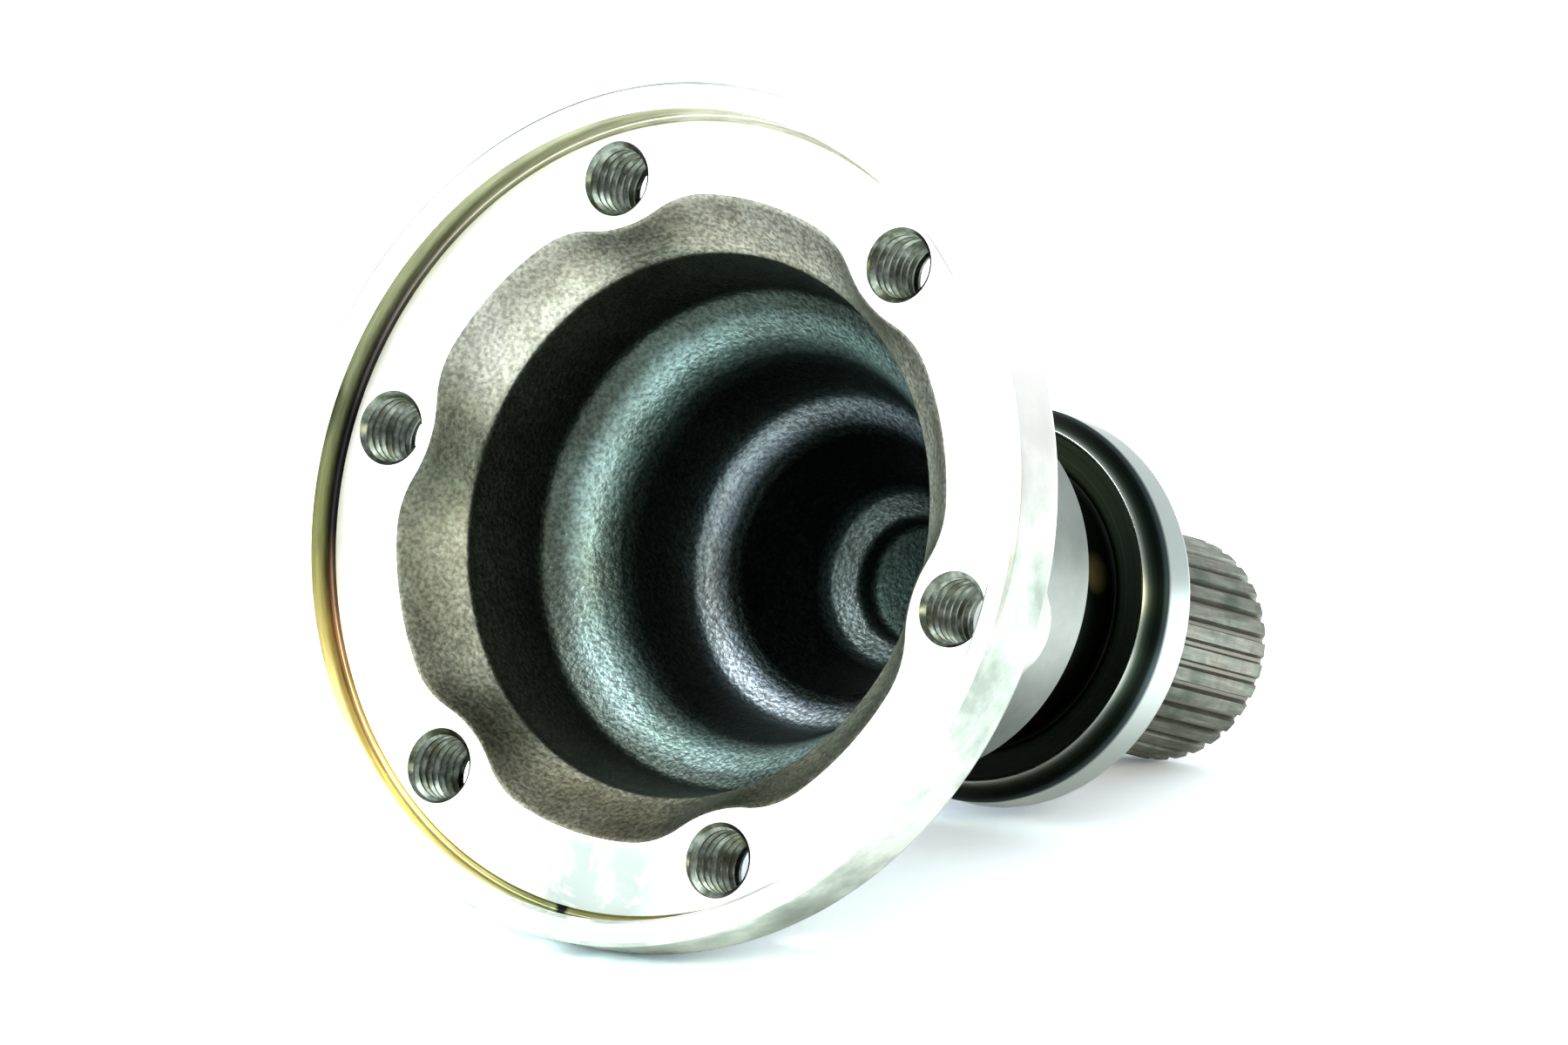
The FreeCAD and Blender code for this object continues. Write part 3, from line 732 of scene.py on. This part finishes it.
def tidy_mesh(mesh, sharp=SHARP):
    """Points every face outwards, and shades it smooth except over sharp edges."""
    work = bmesh.new()
    work.from_mesh(mesh)
    bmesh.ops.recalc_face_normals(work, faces=work.faces)
    work.to_mesh(mesh)
    work.free()
    mesh.polygons.foreach_set("use_smooth", [True] * len(mesh.polygons))
    mesh.set_sharp_from_angle(angle=math.radians(sharp))


def new_piece(name, mesh):
    """An object of its own for the mesh, linked to the scene."""
    piece = bpy.data.objects.new(name, mesh)
    bpy.context.scene.collection.objects.link(piece)
    return piece


def evaluated_mesh(piece):
    """The piece's mesh with its modifiers done, after which they are removed."""
    depsgraph = bpy.context.evaluated_depsgraph_get()
    mesh = bpy.data.meshes.new_from_object(piece.evaluated_get(depsgraph), depsgraph=depsgraph)
    piece.modifiers.clear()
    return mesh


def mouth_radius(turns, settings):
    """Radius in millimetres of the six-lobed mouth at each turn, crests at the holes."""
    lobe = settings.lobe_radius / MM
    crest = settings.crest_radius / MM
    # Arcs of these radii bulge in at each hole and blend out to the lobe
    bulge = 16.0
    blend = 13.0
    outer = crest + bulge
    inner = lobe - blend
    blend_turn = math.acos((outer ** 2 + inner ** 2 - (bulge + blend) ** 2) / (2 * outer * inner))
    touch_x = inner * math.sin(blend_turn) * bulge / (bulge + blend)
    touch_y = outer + (inner * math.cos(blend_turn) - outer) * bulge / (bulge + blend)
    touch_turn = math.atan2(touch_x, touch_y)
    pitch = 2 * math.pi / settings.bolt_count
    away = np.abs((turns % pitch) - pitch / 2)
    on_crest = outer * np.cos(away) - np.sqrt(np.maximum(bulge ** 2 - (outer * np.sin(away)) ** 2, 0))
    off = away - blend_turn
    on_blend = inner * np.cos(off) + np.sqrt(np.maximum(blend ** 2 - (inner * np.sin(off)) ** 2, 0))
    return np.where(away < touch_turn, on_crest, np.where(away < blend_turn, on_blend, lobe))


def shaft_shape(settings):
    """The rule that turns the shaft's round profile into lobes, pads and teeth."""
    teeth = settings.spline_teeth
    per_tooth = SEGMENTS // teeth
    # Where a tooth's sample lines stand, as shares of the pitch: crest, flank and root
    shares = np.array([0.0, 0.15, 0.295, 0.415, 0.5, 0.585, 0.705, 0.85])
    heights = np.array([1.0, 1.0, 1.0, 0.0, 0.0, 0.0, 1.0, 1.0])
    index = np.arange(SEGMENTS)
    tooth_turns = (index // per_tooth + shares[index % per_tooth]) * 2 * math.pi / teeth
    tooth_radii = TOOTH_FLOOR + TOOTH_HEIGHT * heights[index % per_tooth]
    bolt_reach = settings.bolt_circle / 2 / MM
    lobe_radius = settings.lobe_radius / MM
    pitch = 2 * math.pi / settings.bolt_count

    def shape(point, turns):
        radius, place, finish = point
        radii = np.full(SEGMENTS, radius)
        places = np.full(SEGMENTS, place)
        if finish == SPLINE and radius > RELIEF_EDGE:
            return np.minimum(radii, tooth_radii), places, tooth_turns
        if finish in (FORGED, FACED) and place < LOBES_DEPTH and LOBES_INSIDE < radius < LOBES_OUTSIDE:
            down = 1 - max(place, 0) / LOBES_DEPTH
            across = min(1.0, (LOBES_OUTSIDE - radius) / (LOBES_OUTSIDE - lobe_radius))
            radii = radii + down * across * (mouth_radius(turns, settings) - lobe_radius)
        if finish in (RIM, HUB) and RIM_BACK < place < PAD_TOP:
            away = (turns % pitch) - pitch / 2
            distance = np.hypot(radius * np.sin(away), radius * np.cos(away) - bolt_reach)
            share = np.clip((PAD_FOOT - distance) / PAD_SLOPE, 0, 1)
            share = share * share * (3 - 2 * share)
            places = places + share * (PAD_TOP - place)
        return radii, places, turns

    return shape


# The shaft's profile: radius, place, rounding of the corner and finish of the stretch after it
SHAFT_CORNERS = [
    # Stepped forged cup, from its blind bottom out to the mouth
    (0, 65.2, 0, FORGED),
    (8.4, 64.4, 1.4, FORGED),
    (8.7, 61.0, 1.2, FORGED),
    (11.9, 58.8, 1.6, FORGED),
    (17.7, 45.4, 2.2, FORGED),
    (22.7, 41.4, 2.0, FORGED),
    (25.4, 31.0, 12.0, FORGED),
    (28.6, 24.6, 10.0, FORGED),
    (33.7, 20.8, 2.0, FORGED),
    (36.4, 7.0, 0.7, FORGED),
    (43.2, 0, 2.2, FACED),
    # Groove at the foot of the register, the register's wall and the rim
    (52.9, 0, 0, STAINED),
    (53.2, 0.35, 0.2, STAINED),
    (53.8, 0.35, 0.3, STAINED),
    (54.0, 0, 0.1, STAINED),
    (54.0, -4.2, 0.15, FACED),
    (54.6, -4.8, 0.1, FACED),
    (57.0, -4.8, 0.25, RIM),
    (RIM_RADIUS, -4.3, 0.25, RIM),
    (RIM_RADIUS, RIM_BACK, 1.2, RIM),
    (54.6, 9.3, 1.2, RIM),
    # Back of the flange and the hub
    (41.5, 9.3, 6.0, HUB),
    (38.6, 22.0, 10.0, HUB),
    (29.2, 40.0, 8.0, HUB),
    (26.2, 48.0, 8.0, HUB),
    (26.2, 63.7, 0.15, HUB),
    (25.6, 64.3, 0.15, HUB),
    # Neck, bearing seat, circlip groove and relief groove
    (20.3, 64.3, 1.2, GROUND),
    (20.3, 79.3, 0.1, GROUND),
    (20.0, BEARING_FRONT, 0.1, GROUND),
    (17.49, BEARING_FRONT, 0.1, GROUND),
    (17.49, BEARING_REAR, 0.05, GROUND),
    (16.49, BEARING_REAR, 0.1, GROUND),
    (16.49, 91.2, 0.1, GROUND),
    (17.49, 91.2, 0.05, GROUND),
    (17.49, 94.0, 0.1, GROUND),
    (16.89, 94.6, 0.1, GROUND),
    (14.2, 94.6, 0.5, GROUND),
    # Splines, and the end with its centre drilling
    (14.2, 97.2, 0.5, SPLINE),
    (TOOTH_TIP, 97.2, 0.2, SPLINE),
    (TOOTH_TIP, 127.9, 0.3, SPLINE),
    (14.7, 129.0, 0.2, SPLINE),
    (3.15, 129.0, 0.1, GROUND),
    (1.25, 125.7, 0.1, GROUND),
    (1.25, 122.5, 0.1, GROUND),
    (0, 121.3, 0, GROUND),
]
# The longest step along the profile in each finish
SHAFT_DIVISIONS = {FORGED: 1.8, FACED: 1.1, STAINED: 1.0, RIM: 0.9, HUB: 2.0, GROUND: 4.0, SPLINE: 3.0}


def tap_mesh(settings):
    """A right-handed thread tap that stands on the shaft axis at the origin, longer than the hole."""
    root = settings.tap_drill / 2 / MM
    crest = settings.thread_diameter / 2 / MM
    pitch = settings.thread_pitch / MM
    around = 40
    turns = 12
    start = -3.0
    end = start + turns * pitch
    full_thread = 10.7
    caps_past = (1.0, 2.0)
    # Root flat, flank and crest flat of one thread, as shares of the pitch
    profile = [(0.0, root), (0.25, root), (0.5625, crest), (0.6875, crest)]
    levels = [(lap + share) * pitch for lap in range(turns) for share, _ in profile]
    radii = [radius for _ in range(turns) for _, radius in profile]
    vertices = []
    for k in range(around):
        angle = 2 * math.pi * k / around
        for level, radius in zip(levels, radii):
            place = start + level + pitch * k / around
            # The tap's lead leaves the last turn of the thread incomplete
            lead = min(1.0, max(0.0, (full_thread + pitch - place) / pitch))
            radius = root + (radius - root) * lead
            vertices.append((radius * math.sin(angle) * MM, place * MM, radius * math.cos(angle) * MM))
    rows = len(levels)
    lap = len(profile)
    faces = []
    for k in range(around):
        for level in range(rows - 1):
            if k < around - 1:
                near, far = k * rows + level, (k + 1) * rows + level
                faces.append((near, near + 1, far + 1, far))
            elif level + lap + 1 < rows:
                near, far = k * rows + level, level + lap
                faces.append((near, near + 1, far + 1, far))
    first = [k * rows for k in range(around)] + list(range(lap, 0, -1))
    last_level = rows - 1
    top = [k * rows + last_level for k in range(around)]
    top_steps = [(around - 1) * rows + level for level in range(last_level - 1, last_level - lap - 1, -1)]
    last = top + top_steps
    for loop, place in ((first, start - caps_past[0]), (last, end + caps_past[1])):
        middle = len(vertices)
        vertices.append((0.0, place * MM, 0.0))
        for one, two in zip(loop, loop[1:] + loop[:1]):
            faces.append((one, two, middle))
    mesh = bpy.data.meshes.new("tap")
    mesh.from_pydata(vertices, [], faces)
    thread_sharp = 20
    tidy_mesh(mesh, thread_sharp)
    return mesh


def sink_mesh(settings):
    """A cone that stands in the joint face and breaks the edge of a tapped hole."""
    mouth = settings.countersink / 2
    above = 1.0 * MM
    below = 1.5 * MM
    work = bmesh.new()
    bmesh.ops.create_cone(
        work, cap_ends=True, segments=48, radius1=mouth - below, radius2=mouth + above, depth=above + below,
        matrix=Matrix.Translation((0, (below - above) / 2, 0)) @ Matrix.Rotation(math.pi / 2, 4, "X")
    )
    mesh = bpy.data.meshes.new("countersink")
    work.to_mesh(mesh)
    work.free()
    tidy_mesh(mesh)
    return mesh


def hole_pattern_tree():
    """Geometry nodes that set one tool over each tapped hole on the bolt circle."""
    tree = bpy.data.node_groups.new("Tools on the bolt circle", "GeometryNodeTree")
    sockets = tree.interface
    sockets.new_socket("Tool", in_out="INPUT", socket_type="NodeSocketGeometry")
    sockets.new_socket("Holes", in_out="INPUT", socket_type="NodeSocketInt")
    sockets.new_socket("Circle radius", in_out="INPUT", socket_type="NodeSocketFloat")
    sockets.new_socket("Seed", in_out="INPUT", socket_type="NodeSocketInt")
    sockets.new_socket("Finish", in_out="INPUT", socket_type="NodeSocketMaterial")
    sockets.new_socket("Tools", in_out="OUTPUT", socket_type="NodeSocketGeometry")
    entry = add(tree, "NodeGroupInput")
    circle = add(
        tree,
        "GeometryNodeMeshCircle",
        links={"Vertices": entry.outputs["Holes"], "Radius": entry.outputs["Circle radius"]},
    )
    upright = add(
        tree, "GeometryNodeTransform", {"Rotation": (math.pi / 2, 0.0, 0.0)}, {"Geometry": circle}
    )
    # Each tap enters at its own angle, as on a drilling machine
    entry_turn = add(
        tree,
        "FunctionNodeRandomValue",
        {"data_type": "FLOAT_VECTOR", 0: (0.0, 0.0, 0.0), 1: (0.0, 2 * math.pi, 0.0)},
        {"Seed": entry.outputs["Seed"]},
    )
    spread = add(
        tree,
        "GeometryNodeInstanceOnPoints",
        links={
            "Points": upright,
            "Instance": entry.outputs["Tool"],
            "Rotation": entry_turn,
        },
    )
    real = add(tree, "GeometryNodeRealizeInstances", links={"Geometry": spread})
    finish = add(
        tree, "GeometryNodeSetMaterial", links={"Geometry": real, "Material": entry.outputs["Finish"]}
    )
    leave = add(tree, "NodeGroupOutput")
    join(tree, leave, {"Tools": finish})
    return tree


def spread_tools(name, mesh, tree, settings, finish):
    """One tool at each hole, made by the geometry nodes and turned into a plain mesh."""
    piece = new_piece(name, mesh)
    modifier = piece.modifiers.new("Bolt circle", "NODES")
    modifier.node_group = tree
    values = {
        "Holes": settings.bolt_count,
        "Circle radius": settings.bolt_circle / 2,
        "Seed": 7,
        "Finish": finish,
    }
    for item in tree.interface.items_tree:
        if item.in_out == "INPUT" and item.name in values:
            modifier[item.identifier] = values[item.name]
    piece.data = evaluated_mesh(piece)
    return piece


def cut_away(piece, tools):
    """Cuts each tool out of the piece. The cut takes the tool's finish."""
    for tool in tools:
        modifier = piece.modifiers.new(tool.name, "BOOLEAN")
        modifier.operation = "DIFFERENCE"
        modifier.solver = "EXACT"
        modifier.material_mode = "TRANSFER"
        modifier.object = tool
    mesh = evaluated_mesh(piece)
    piece.data = mesh
    for tool in tools:
        bpy.data.objects.remove(tool)
    mesh.polygons.foreach_set("use_smooth", [True] * len(mesh.polygons))
    mesh.set_sharp_from_angle(angle=math.radians(SHARP))


def arc_points(centre, radius, start, end, steps, finish):
    """Points on an arc in the profile, between two angles in degrees."""
    points = []
    for step in range(steps + 1):
        angle = math.radians(start + (end - start) * step / steps)
        points.append((centre[0] + radius * math.cos(angle), centre[1] + radius * math.sin(angle), finish))
    return points


def finish_node(name, material):
    """Gives a CAD node its finish and leaves its mesh as it is."""
    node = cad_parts[name]
    node.data.materials.clear()
    node.data.materials.append(material)


# Operators


class OUTPUTSHAFT_OT_shaft(bpy.types.Operator):
    """Turn the forged shaft with its lobed cup, pads, splines and tapped holes"""

    bl_idname = "output_shaft.add_shaft"
    bl_label = "Output shaft"

    def execute(self, context):
        settings = context.scene.shaft_settings
        finishes = [
            forged_steel(),
            # Facing leaves a near white sheen, stained grey where the part stood
            turned_steel(
                "Faced steel", [(0.3, "#f7faf9"), (0.6, "#ffffff")], patch_mm=22.0, roughness=0.35,
                feed_mm=0.5, cut_depth=0.01, stain_and_painted_light=((0.006, 0.0, -0.048), 0.017, "#b9c9c4", 0.36)
            ),
            stained_register(),
            # The rim is painted white at the top as a painted highlight, and the rest keeps a green-grey
            # oxide
            turned_steel(
                "Turned steel of the rim", [(0.38, "#7f8c85"), (0.50, "#9caaa2"), (0.62, "#c3cec7")],
                patch_mm=14.0, roughness=0.34, feed_mm=0.6, cut_depth=0.01,
                stain_and_painted_light=((0.030, 0.0, 0.050), 0.052, "#ffffff", 0.0)
            ),
            # Oxide dulls the hub to grey-green, with teal oil at the bottom
            turned_steel(
                "Turned steel of the hub", [(0.3, "#747f7b"), (0.7, "#929c98")], patch_mm=14.0,
                roughness=0.36, feed_mm=0.5, cut_depth=0.02,
                stain_and_painted_light=((0.012, 0.054, -0.024), 0.018, "#5f7f79", 0.42)
            ),
            # The polished neck is painted near black as shade, with one amber spot painted on as a glint
            turned_steel(
                "Ground steel, painted dark, with a painted glint", [(0.3, "#0a110c"), (0.7, "#121a13")], patch_mm=6.0, roughness=0.25,
                feed_mm=0.3, cut_depth=0.004, stain_and_painted_light=((0.0186, 0.0755, 0.0083), 0.0032, "#8f8550", 0.2)
            ),
            hobbed_spline(),
        ]
        points = divided(rounded_chain(SHAFT_CORNERS), SHAFT_DIVISIONS)
        mesh = turned_mesh("dressed_shaft", points, finishes, shape=shaft_shape(settings))
        piece = new_piece("dressed_shaft", mesh)
        tree = hole_pattern_tree()
        thread = cut_thread()
        taps = spread_tools("taps", tap_mesh(settings), tree, settings, thread)
        sinks = spread_tools("countersinks", sink_mesh(settings), tree, settings, thread)
        cut_away(piece, [taps, sinks])
        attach(piece, "shaft")
        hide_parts("output_shaft")
        return {"FINISHED"}


class OUTPUTSHAFT_OT_bearing(bpy.types.Operator):
    """Turn the bearing's two rings and its two moulded seals"""

    bl_idname = "output_shaft.add_bearing"
    bl_label = "Sealed bearing"

    def execute(self, context):
        colours = context.scene.finish_settings
        ground = bevelled_ring()
        # The inner ring is painted green-black as shade, with its shine dulled
        painted_shading = turned_steel(
            "Bearing steel, painted dark as shade", [(0.3, "#0a0d0b"), (0.7, "#121613")], patch_mm=10.0,
            roughness=0.5, feed_mm=0.4, cut_depth=0.005
        )
        rubber = moulded_rubber(colours.seal)
        middle = 84.6
        race_radius = 3.1
        race_half_width = 2.406
        outer_race_centre = (22.395, middle)
        inner_race_centre = (22.605, middle)
        outside = 27.5
        seal_seat = 24.8
        seal_front = 81.05
        seal_rear = 88.15
        outer_land = 24.35
        inner_land = 20.8
        bore = 17.5
        half_turn = math.degrees(math.asin(race_half_width / race_radius))
        outer = rounded_chain(
            [
                (seal_seat, seal_front, 0.05, 0),
                (seal_seat, BEARING_FRONT, 0.12, 0),
                (25.1, BEARING_FRONT, 0.12, 0),
                (outside, 82.4, 0.3, 0),
                (outside, 88.0, 0.8, 0),
                (26.5, BEARING_REAR, 0.3, 0),
                (seal_seat, BEARING_REAR, 0.12, 0),
                (seal_seat, seal_rear, 0.05, 0),
            ],
        )
        outer += [(outer_land, seal_rear, 0)]
        outer += arc_points(outer_race_centre, race_radius, half_turn - 0.4, 0.4 - half_turn, 10, 0)
        outer += [(outer_land, seal_front, 0)]
        inner = rounded_chain(
            [
                (inner_land, 87.5, 0, 0),
                (inner_land, BEARING_REAR, 0.25, 0),
                (bore, BEARING_REAR, 0.6, 0),
                (bore, BEARING_FRONT, 0.6, 0),
                (inner_land, BEARING_FRONT, 0.25, 0),
                (inner_land, 81.7, 0, 0),
            ]
        )
        inner += arc_points(inner_race_centre, race_radius, 180 + half_turn + 3, 180 - half_turn - 3, 10, 0)
        pieces = [
            ("dressed_outer_ring", "bearing_outer_ring", "outer_race", outer, ground, "bearing_steel"),
            ("dressed_inner_ring", "bearing_inner_ring", "shaft", inner, painted_shading, "bearing_steel"),
        ]
        for side, face, inward in (("front", BEARING_FRONT, 1), ("rear", BEARING_REAR, -1)):
            # Radius, depth under the bearing's face, rounding and finish
            washer = [
                (20.9, 0.62, 0.05, 0),
                (21.35, 0.37, 0.1, 0),
                (22.2, 0.37, 0.08, 0),
                (22.35, 0.42, 0.08, 0),
                (23.6, 0.42, 0.08, 0),
                (23.75, 0.37, 0.08, 0),
                (24.5, 0.37, 0.15, 0),
                (24.78, 0.55, 0.05, 0),
                (24.78, 1.43, 0.05, 0),
                (24.35, 1.43, 0.05, 0),
                (23.75, 0.95, 0.1, 0),
                (21.5, 0.95, 0.1, 0),
                (20.9, 1.43, 0.05, 0),
            ]
            corners = [
                (radius, face + depth * inward, rounding, finish)
                for radius, depth, rounding, finish in washer
            ]
            profile = rounded_chain(corners, closed=True, steps=3)
            pieces.append(
                (
                    "dressed_%s_seal" % side,
                    "bearing_%s_seal" % side,
                    "outer_race",
                    profile,
                    rubber,
                    "seal_rubber",
                )
            )
        for name, node, body, profile, material, slot in pieces:
            piece = new_piece(name, turned_mesh(name, profile, [material], closed=True))
            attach(piece, body)
            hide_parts(node)
        return {"FINISHED"}


class OUTPUTSHAFT_OT_bearing_inside(bpy.types.Operator):
    """Give the balls, the cage, its rivets and the circlip their finishes"""

    bl_idname = "output_shaft.finish_inside"
    bl_label = "Balls, cage and circlip"

    def execute(self, context):
        # Lapping leaves the balls mirror bright, and pressing leaves the sheet satin
        polished = turned_steel(
            "Ball steel, polished", [(0.3, "#d3d6d8"), (0.7, "#e2e5e6")], patch_mm=4.0, roughness=0.07,
            feed_mm=0.5, cut_depth=0.001
        )
        sheet = turned_steel(
            "Steel sheet, pressed", [(0.3, "#a7a59e"), (0.7, "#c2c1bb")], patch_mm=2.0, roughness=0.3,
            feed_mm=0.2, cut_depth=0.01
        )
        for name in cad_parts:
            if name.startswith("ball_"):
                finish_node(name, polished)
            elif name.startswith("cage_"):
                finish_node(name, sheet)
        finish_node("bearing_circlip", phosphated_spring())
        return {"FINISHED"}


class OUTPUTSHAFT_OT_stage(bpy.types.Operator):
    """Lay the pale floor and set the lamps, the white room and the camera"""

    bl_idname = "output_shaft.add_stage"
    bl_label = "Studio"

    def execute(self, context):
        scene = context.scene
        stage = scene.stage_settings
        # The shaft lies on the flange's rim and the end of the splines, rolled a little about its axis
        lean = math.atan2(RIM_RADIUS - TOOTH_TIP, TOOTH_REST - RIM_BACK)
        roll = math.radians(7.9)
        up = Vector((-math.cos(lean) * math.sin(roll), -math.sin(lean), math.cos(lean) * math.cos(roll)))
        drop = (-math.sin(lean) * RIM_BACK - math.cos(lean) * RIM_RADIUS) * MM
        across = up.cross(Vector((0, 1, 0))).normalized()
        along = up.cross(across)
        gap = 0.2 * MM
        middle = up * (drop - gap)
        reach = 8.0
        sides = ((-1, -1), (1, -1), (1, 1), (-1, 1))
        corners = [middle + across * x * reach + along * y * reach for x, y in sides]
        mesh = bpy.data.meshes.new("floor")
        mesh.from_pydata([tuple(c) for c in corners], [], [(0, 1, 2, 3)])
        if mesh.polygons[0].normal.dot(up) < 0:
            mesh.flip_normals()
        mesh.materials.append(studio_floor(scene.finish_settings.floor))
        floor = new_piece("floor", mesh)

        world = bpy.data.worlds.new("White room")
        scene.world = world
        world.use_nodes = True
        tree = world.node_tree
        tree.nodes.clear()
        # The camera, mirrors and glass see full white, and the room lights the part a little less
        rays = add(tree, "ShaderNodeLightPath")
        seen = add(
            tree, "ShaderNodeMath", {"operation": "MAXIMUM"},
            {0: rays.outputs["Is Camera Ray"], 1: rays.outputs["Is Glossy Ray"]},
        )
        shown = add(
            tree, "ShaderNodeMath", {"operation": "MAXIMUM"},
            {0: seen, 1: rays.outputs["Is Transmission Ray"]},
        )
        strength = add(tree, "ShaderNodeMapRange", {"To Min": stage.room, "To Max": 1.0}, {"Value": shown})
        room = add(tree, "ShaderNodeBackground", {"Color": (1.0, 1.0, 1.0, 1.0)}, {"Strength": strength})
        add(tree, "ShaderNodeOutputWorld", links={"Surface": room})

        # The camera's axes and place, solved from the six holes and the round edges
        right = Vector((0.7906, 0.5391, 0.2902)).normalized()
        forward = Vector((-0.5569, 0.8302, -0.0250)).normalized()
        right = (right - forward * right.dot(forward)).normalized()
        top = right.cross(forward)
        spot = Vector((1.0213, -1.4957, 0.0491))
        camera = bpy.data.cameras.new("camera")
        camera.lens = stage.lens
        camera.sensor_width = 36.0
        camera.sensor_fit = "HORIZONTAL"
        camera.clip_end = 50.0
        eye = bpy.data.objects.new("camera", camera)
        eye.matrix_world = Matrix(
            (
                (right.x, top.x, -forward.x, spot.x),
                (right.y, top.y, -forward.y, spot.y),
                (right.z, top.z, -forward.z, spot.z),
                (0, 0, 0, 1),
            )
        )
        scene.collection.objects.link(eye)
        scene.camera = eye

        lamps = (
            ("key", Vector((-0.35, -1.15, 0.75)), 1.0, stage.key, (1.0, 1.0, 1.0)),
            ("fill", Vector((0.95, -0.6, 0.45)), 0.35, stage.fill, (1.0, 0.84, 0.58)),
        )
        for name, place, width, power, colour in lamps:
            lamp = bpy.data.lights.new(name, "AREA")
            lamp.shape = "DISK"
            lamp.size = width
            lamp.energy = power
            lamp.color = colour
            holder = bpy.data.objects.new(name, lamp)
            holder.location = place
            holder.rotation_euler = (-place).to_track_quat("-Z", "Y").to_euler()
            scene.collection.objects.link(holder)
        scene.view_settings.view_transform = "Standard"
        return {"FINISHED"}


OPERATORS = (
    OUTPUTSHAFT_OT_shaft,
    OUTPUTSHAFT_OT_bearing,
    OUTPUTSHAFT_OT_bearing_inside,
    OUTPUTSHAFT_OT_stage,
)


class OUTPUTSHAFT_PT_panel(bpy.types.Panel):
    """Pieces of the output shaft"""

    bl_idname = "OUTPUTSHAFT_PT_panel"
    bl_label = "Output shaft"
    bl_space_type = "VIEW_3D"
    bl_region_type = "UI"
    bl_category = "Output shaft"

    def draw(self, context):
        for operator in OPERATORS:
            self.layout.operator(operator.bl_idname)
        for name in ("shaft_settings", "finish_settings", "stage_settings"):
            settings = getattr(context.scene, name)
            for field in settings.bl_rna.properties.keys():
                if field not in ("name", "rna_type"):
                    self.layout.prop(settings, field)


CLASSES = (ShaftSettings, FinishSettings, StageSettings) + OPERATORS + (OUTPUTSHAFT_PT_panel,)


def register():
    for item in CLASSES:
        bpy.utils.register_class(item)
    bpy.types.Scene.shaft_settings = PointerProperty(type=ShaftSettings)
    bpy.types.Scene.finish_settings = PointerProperty(type=FinishSettings)
    bpy.types.Scene.stage_settings = PointerProperty(type=StageSettings)


def unregister():
    del bpy.types.Scene.stage_settings
    del bpy.types.Scene.finish_settings
    del bpy.types.Scene.shaft_settings
    for item in reversed(CLASSES):
        bpy.utils.unregister_class(item)


def main():
    register()
    bpy.ops.output_shaft.add_shaft()
    bpy.ops.output_shaft.add_bearing()
    bpy.ops.output_shaft.finish_inside()
    bpy.ops.output_shaft.add_stage()


if __name__ == "__main__":
    main()
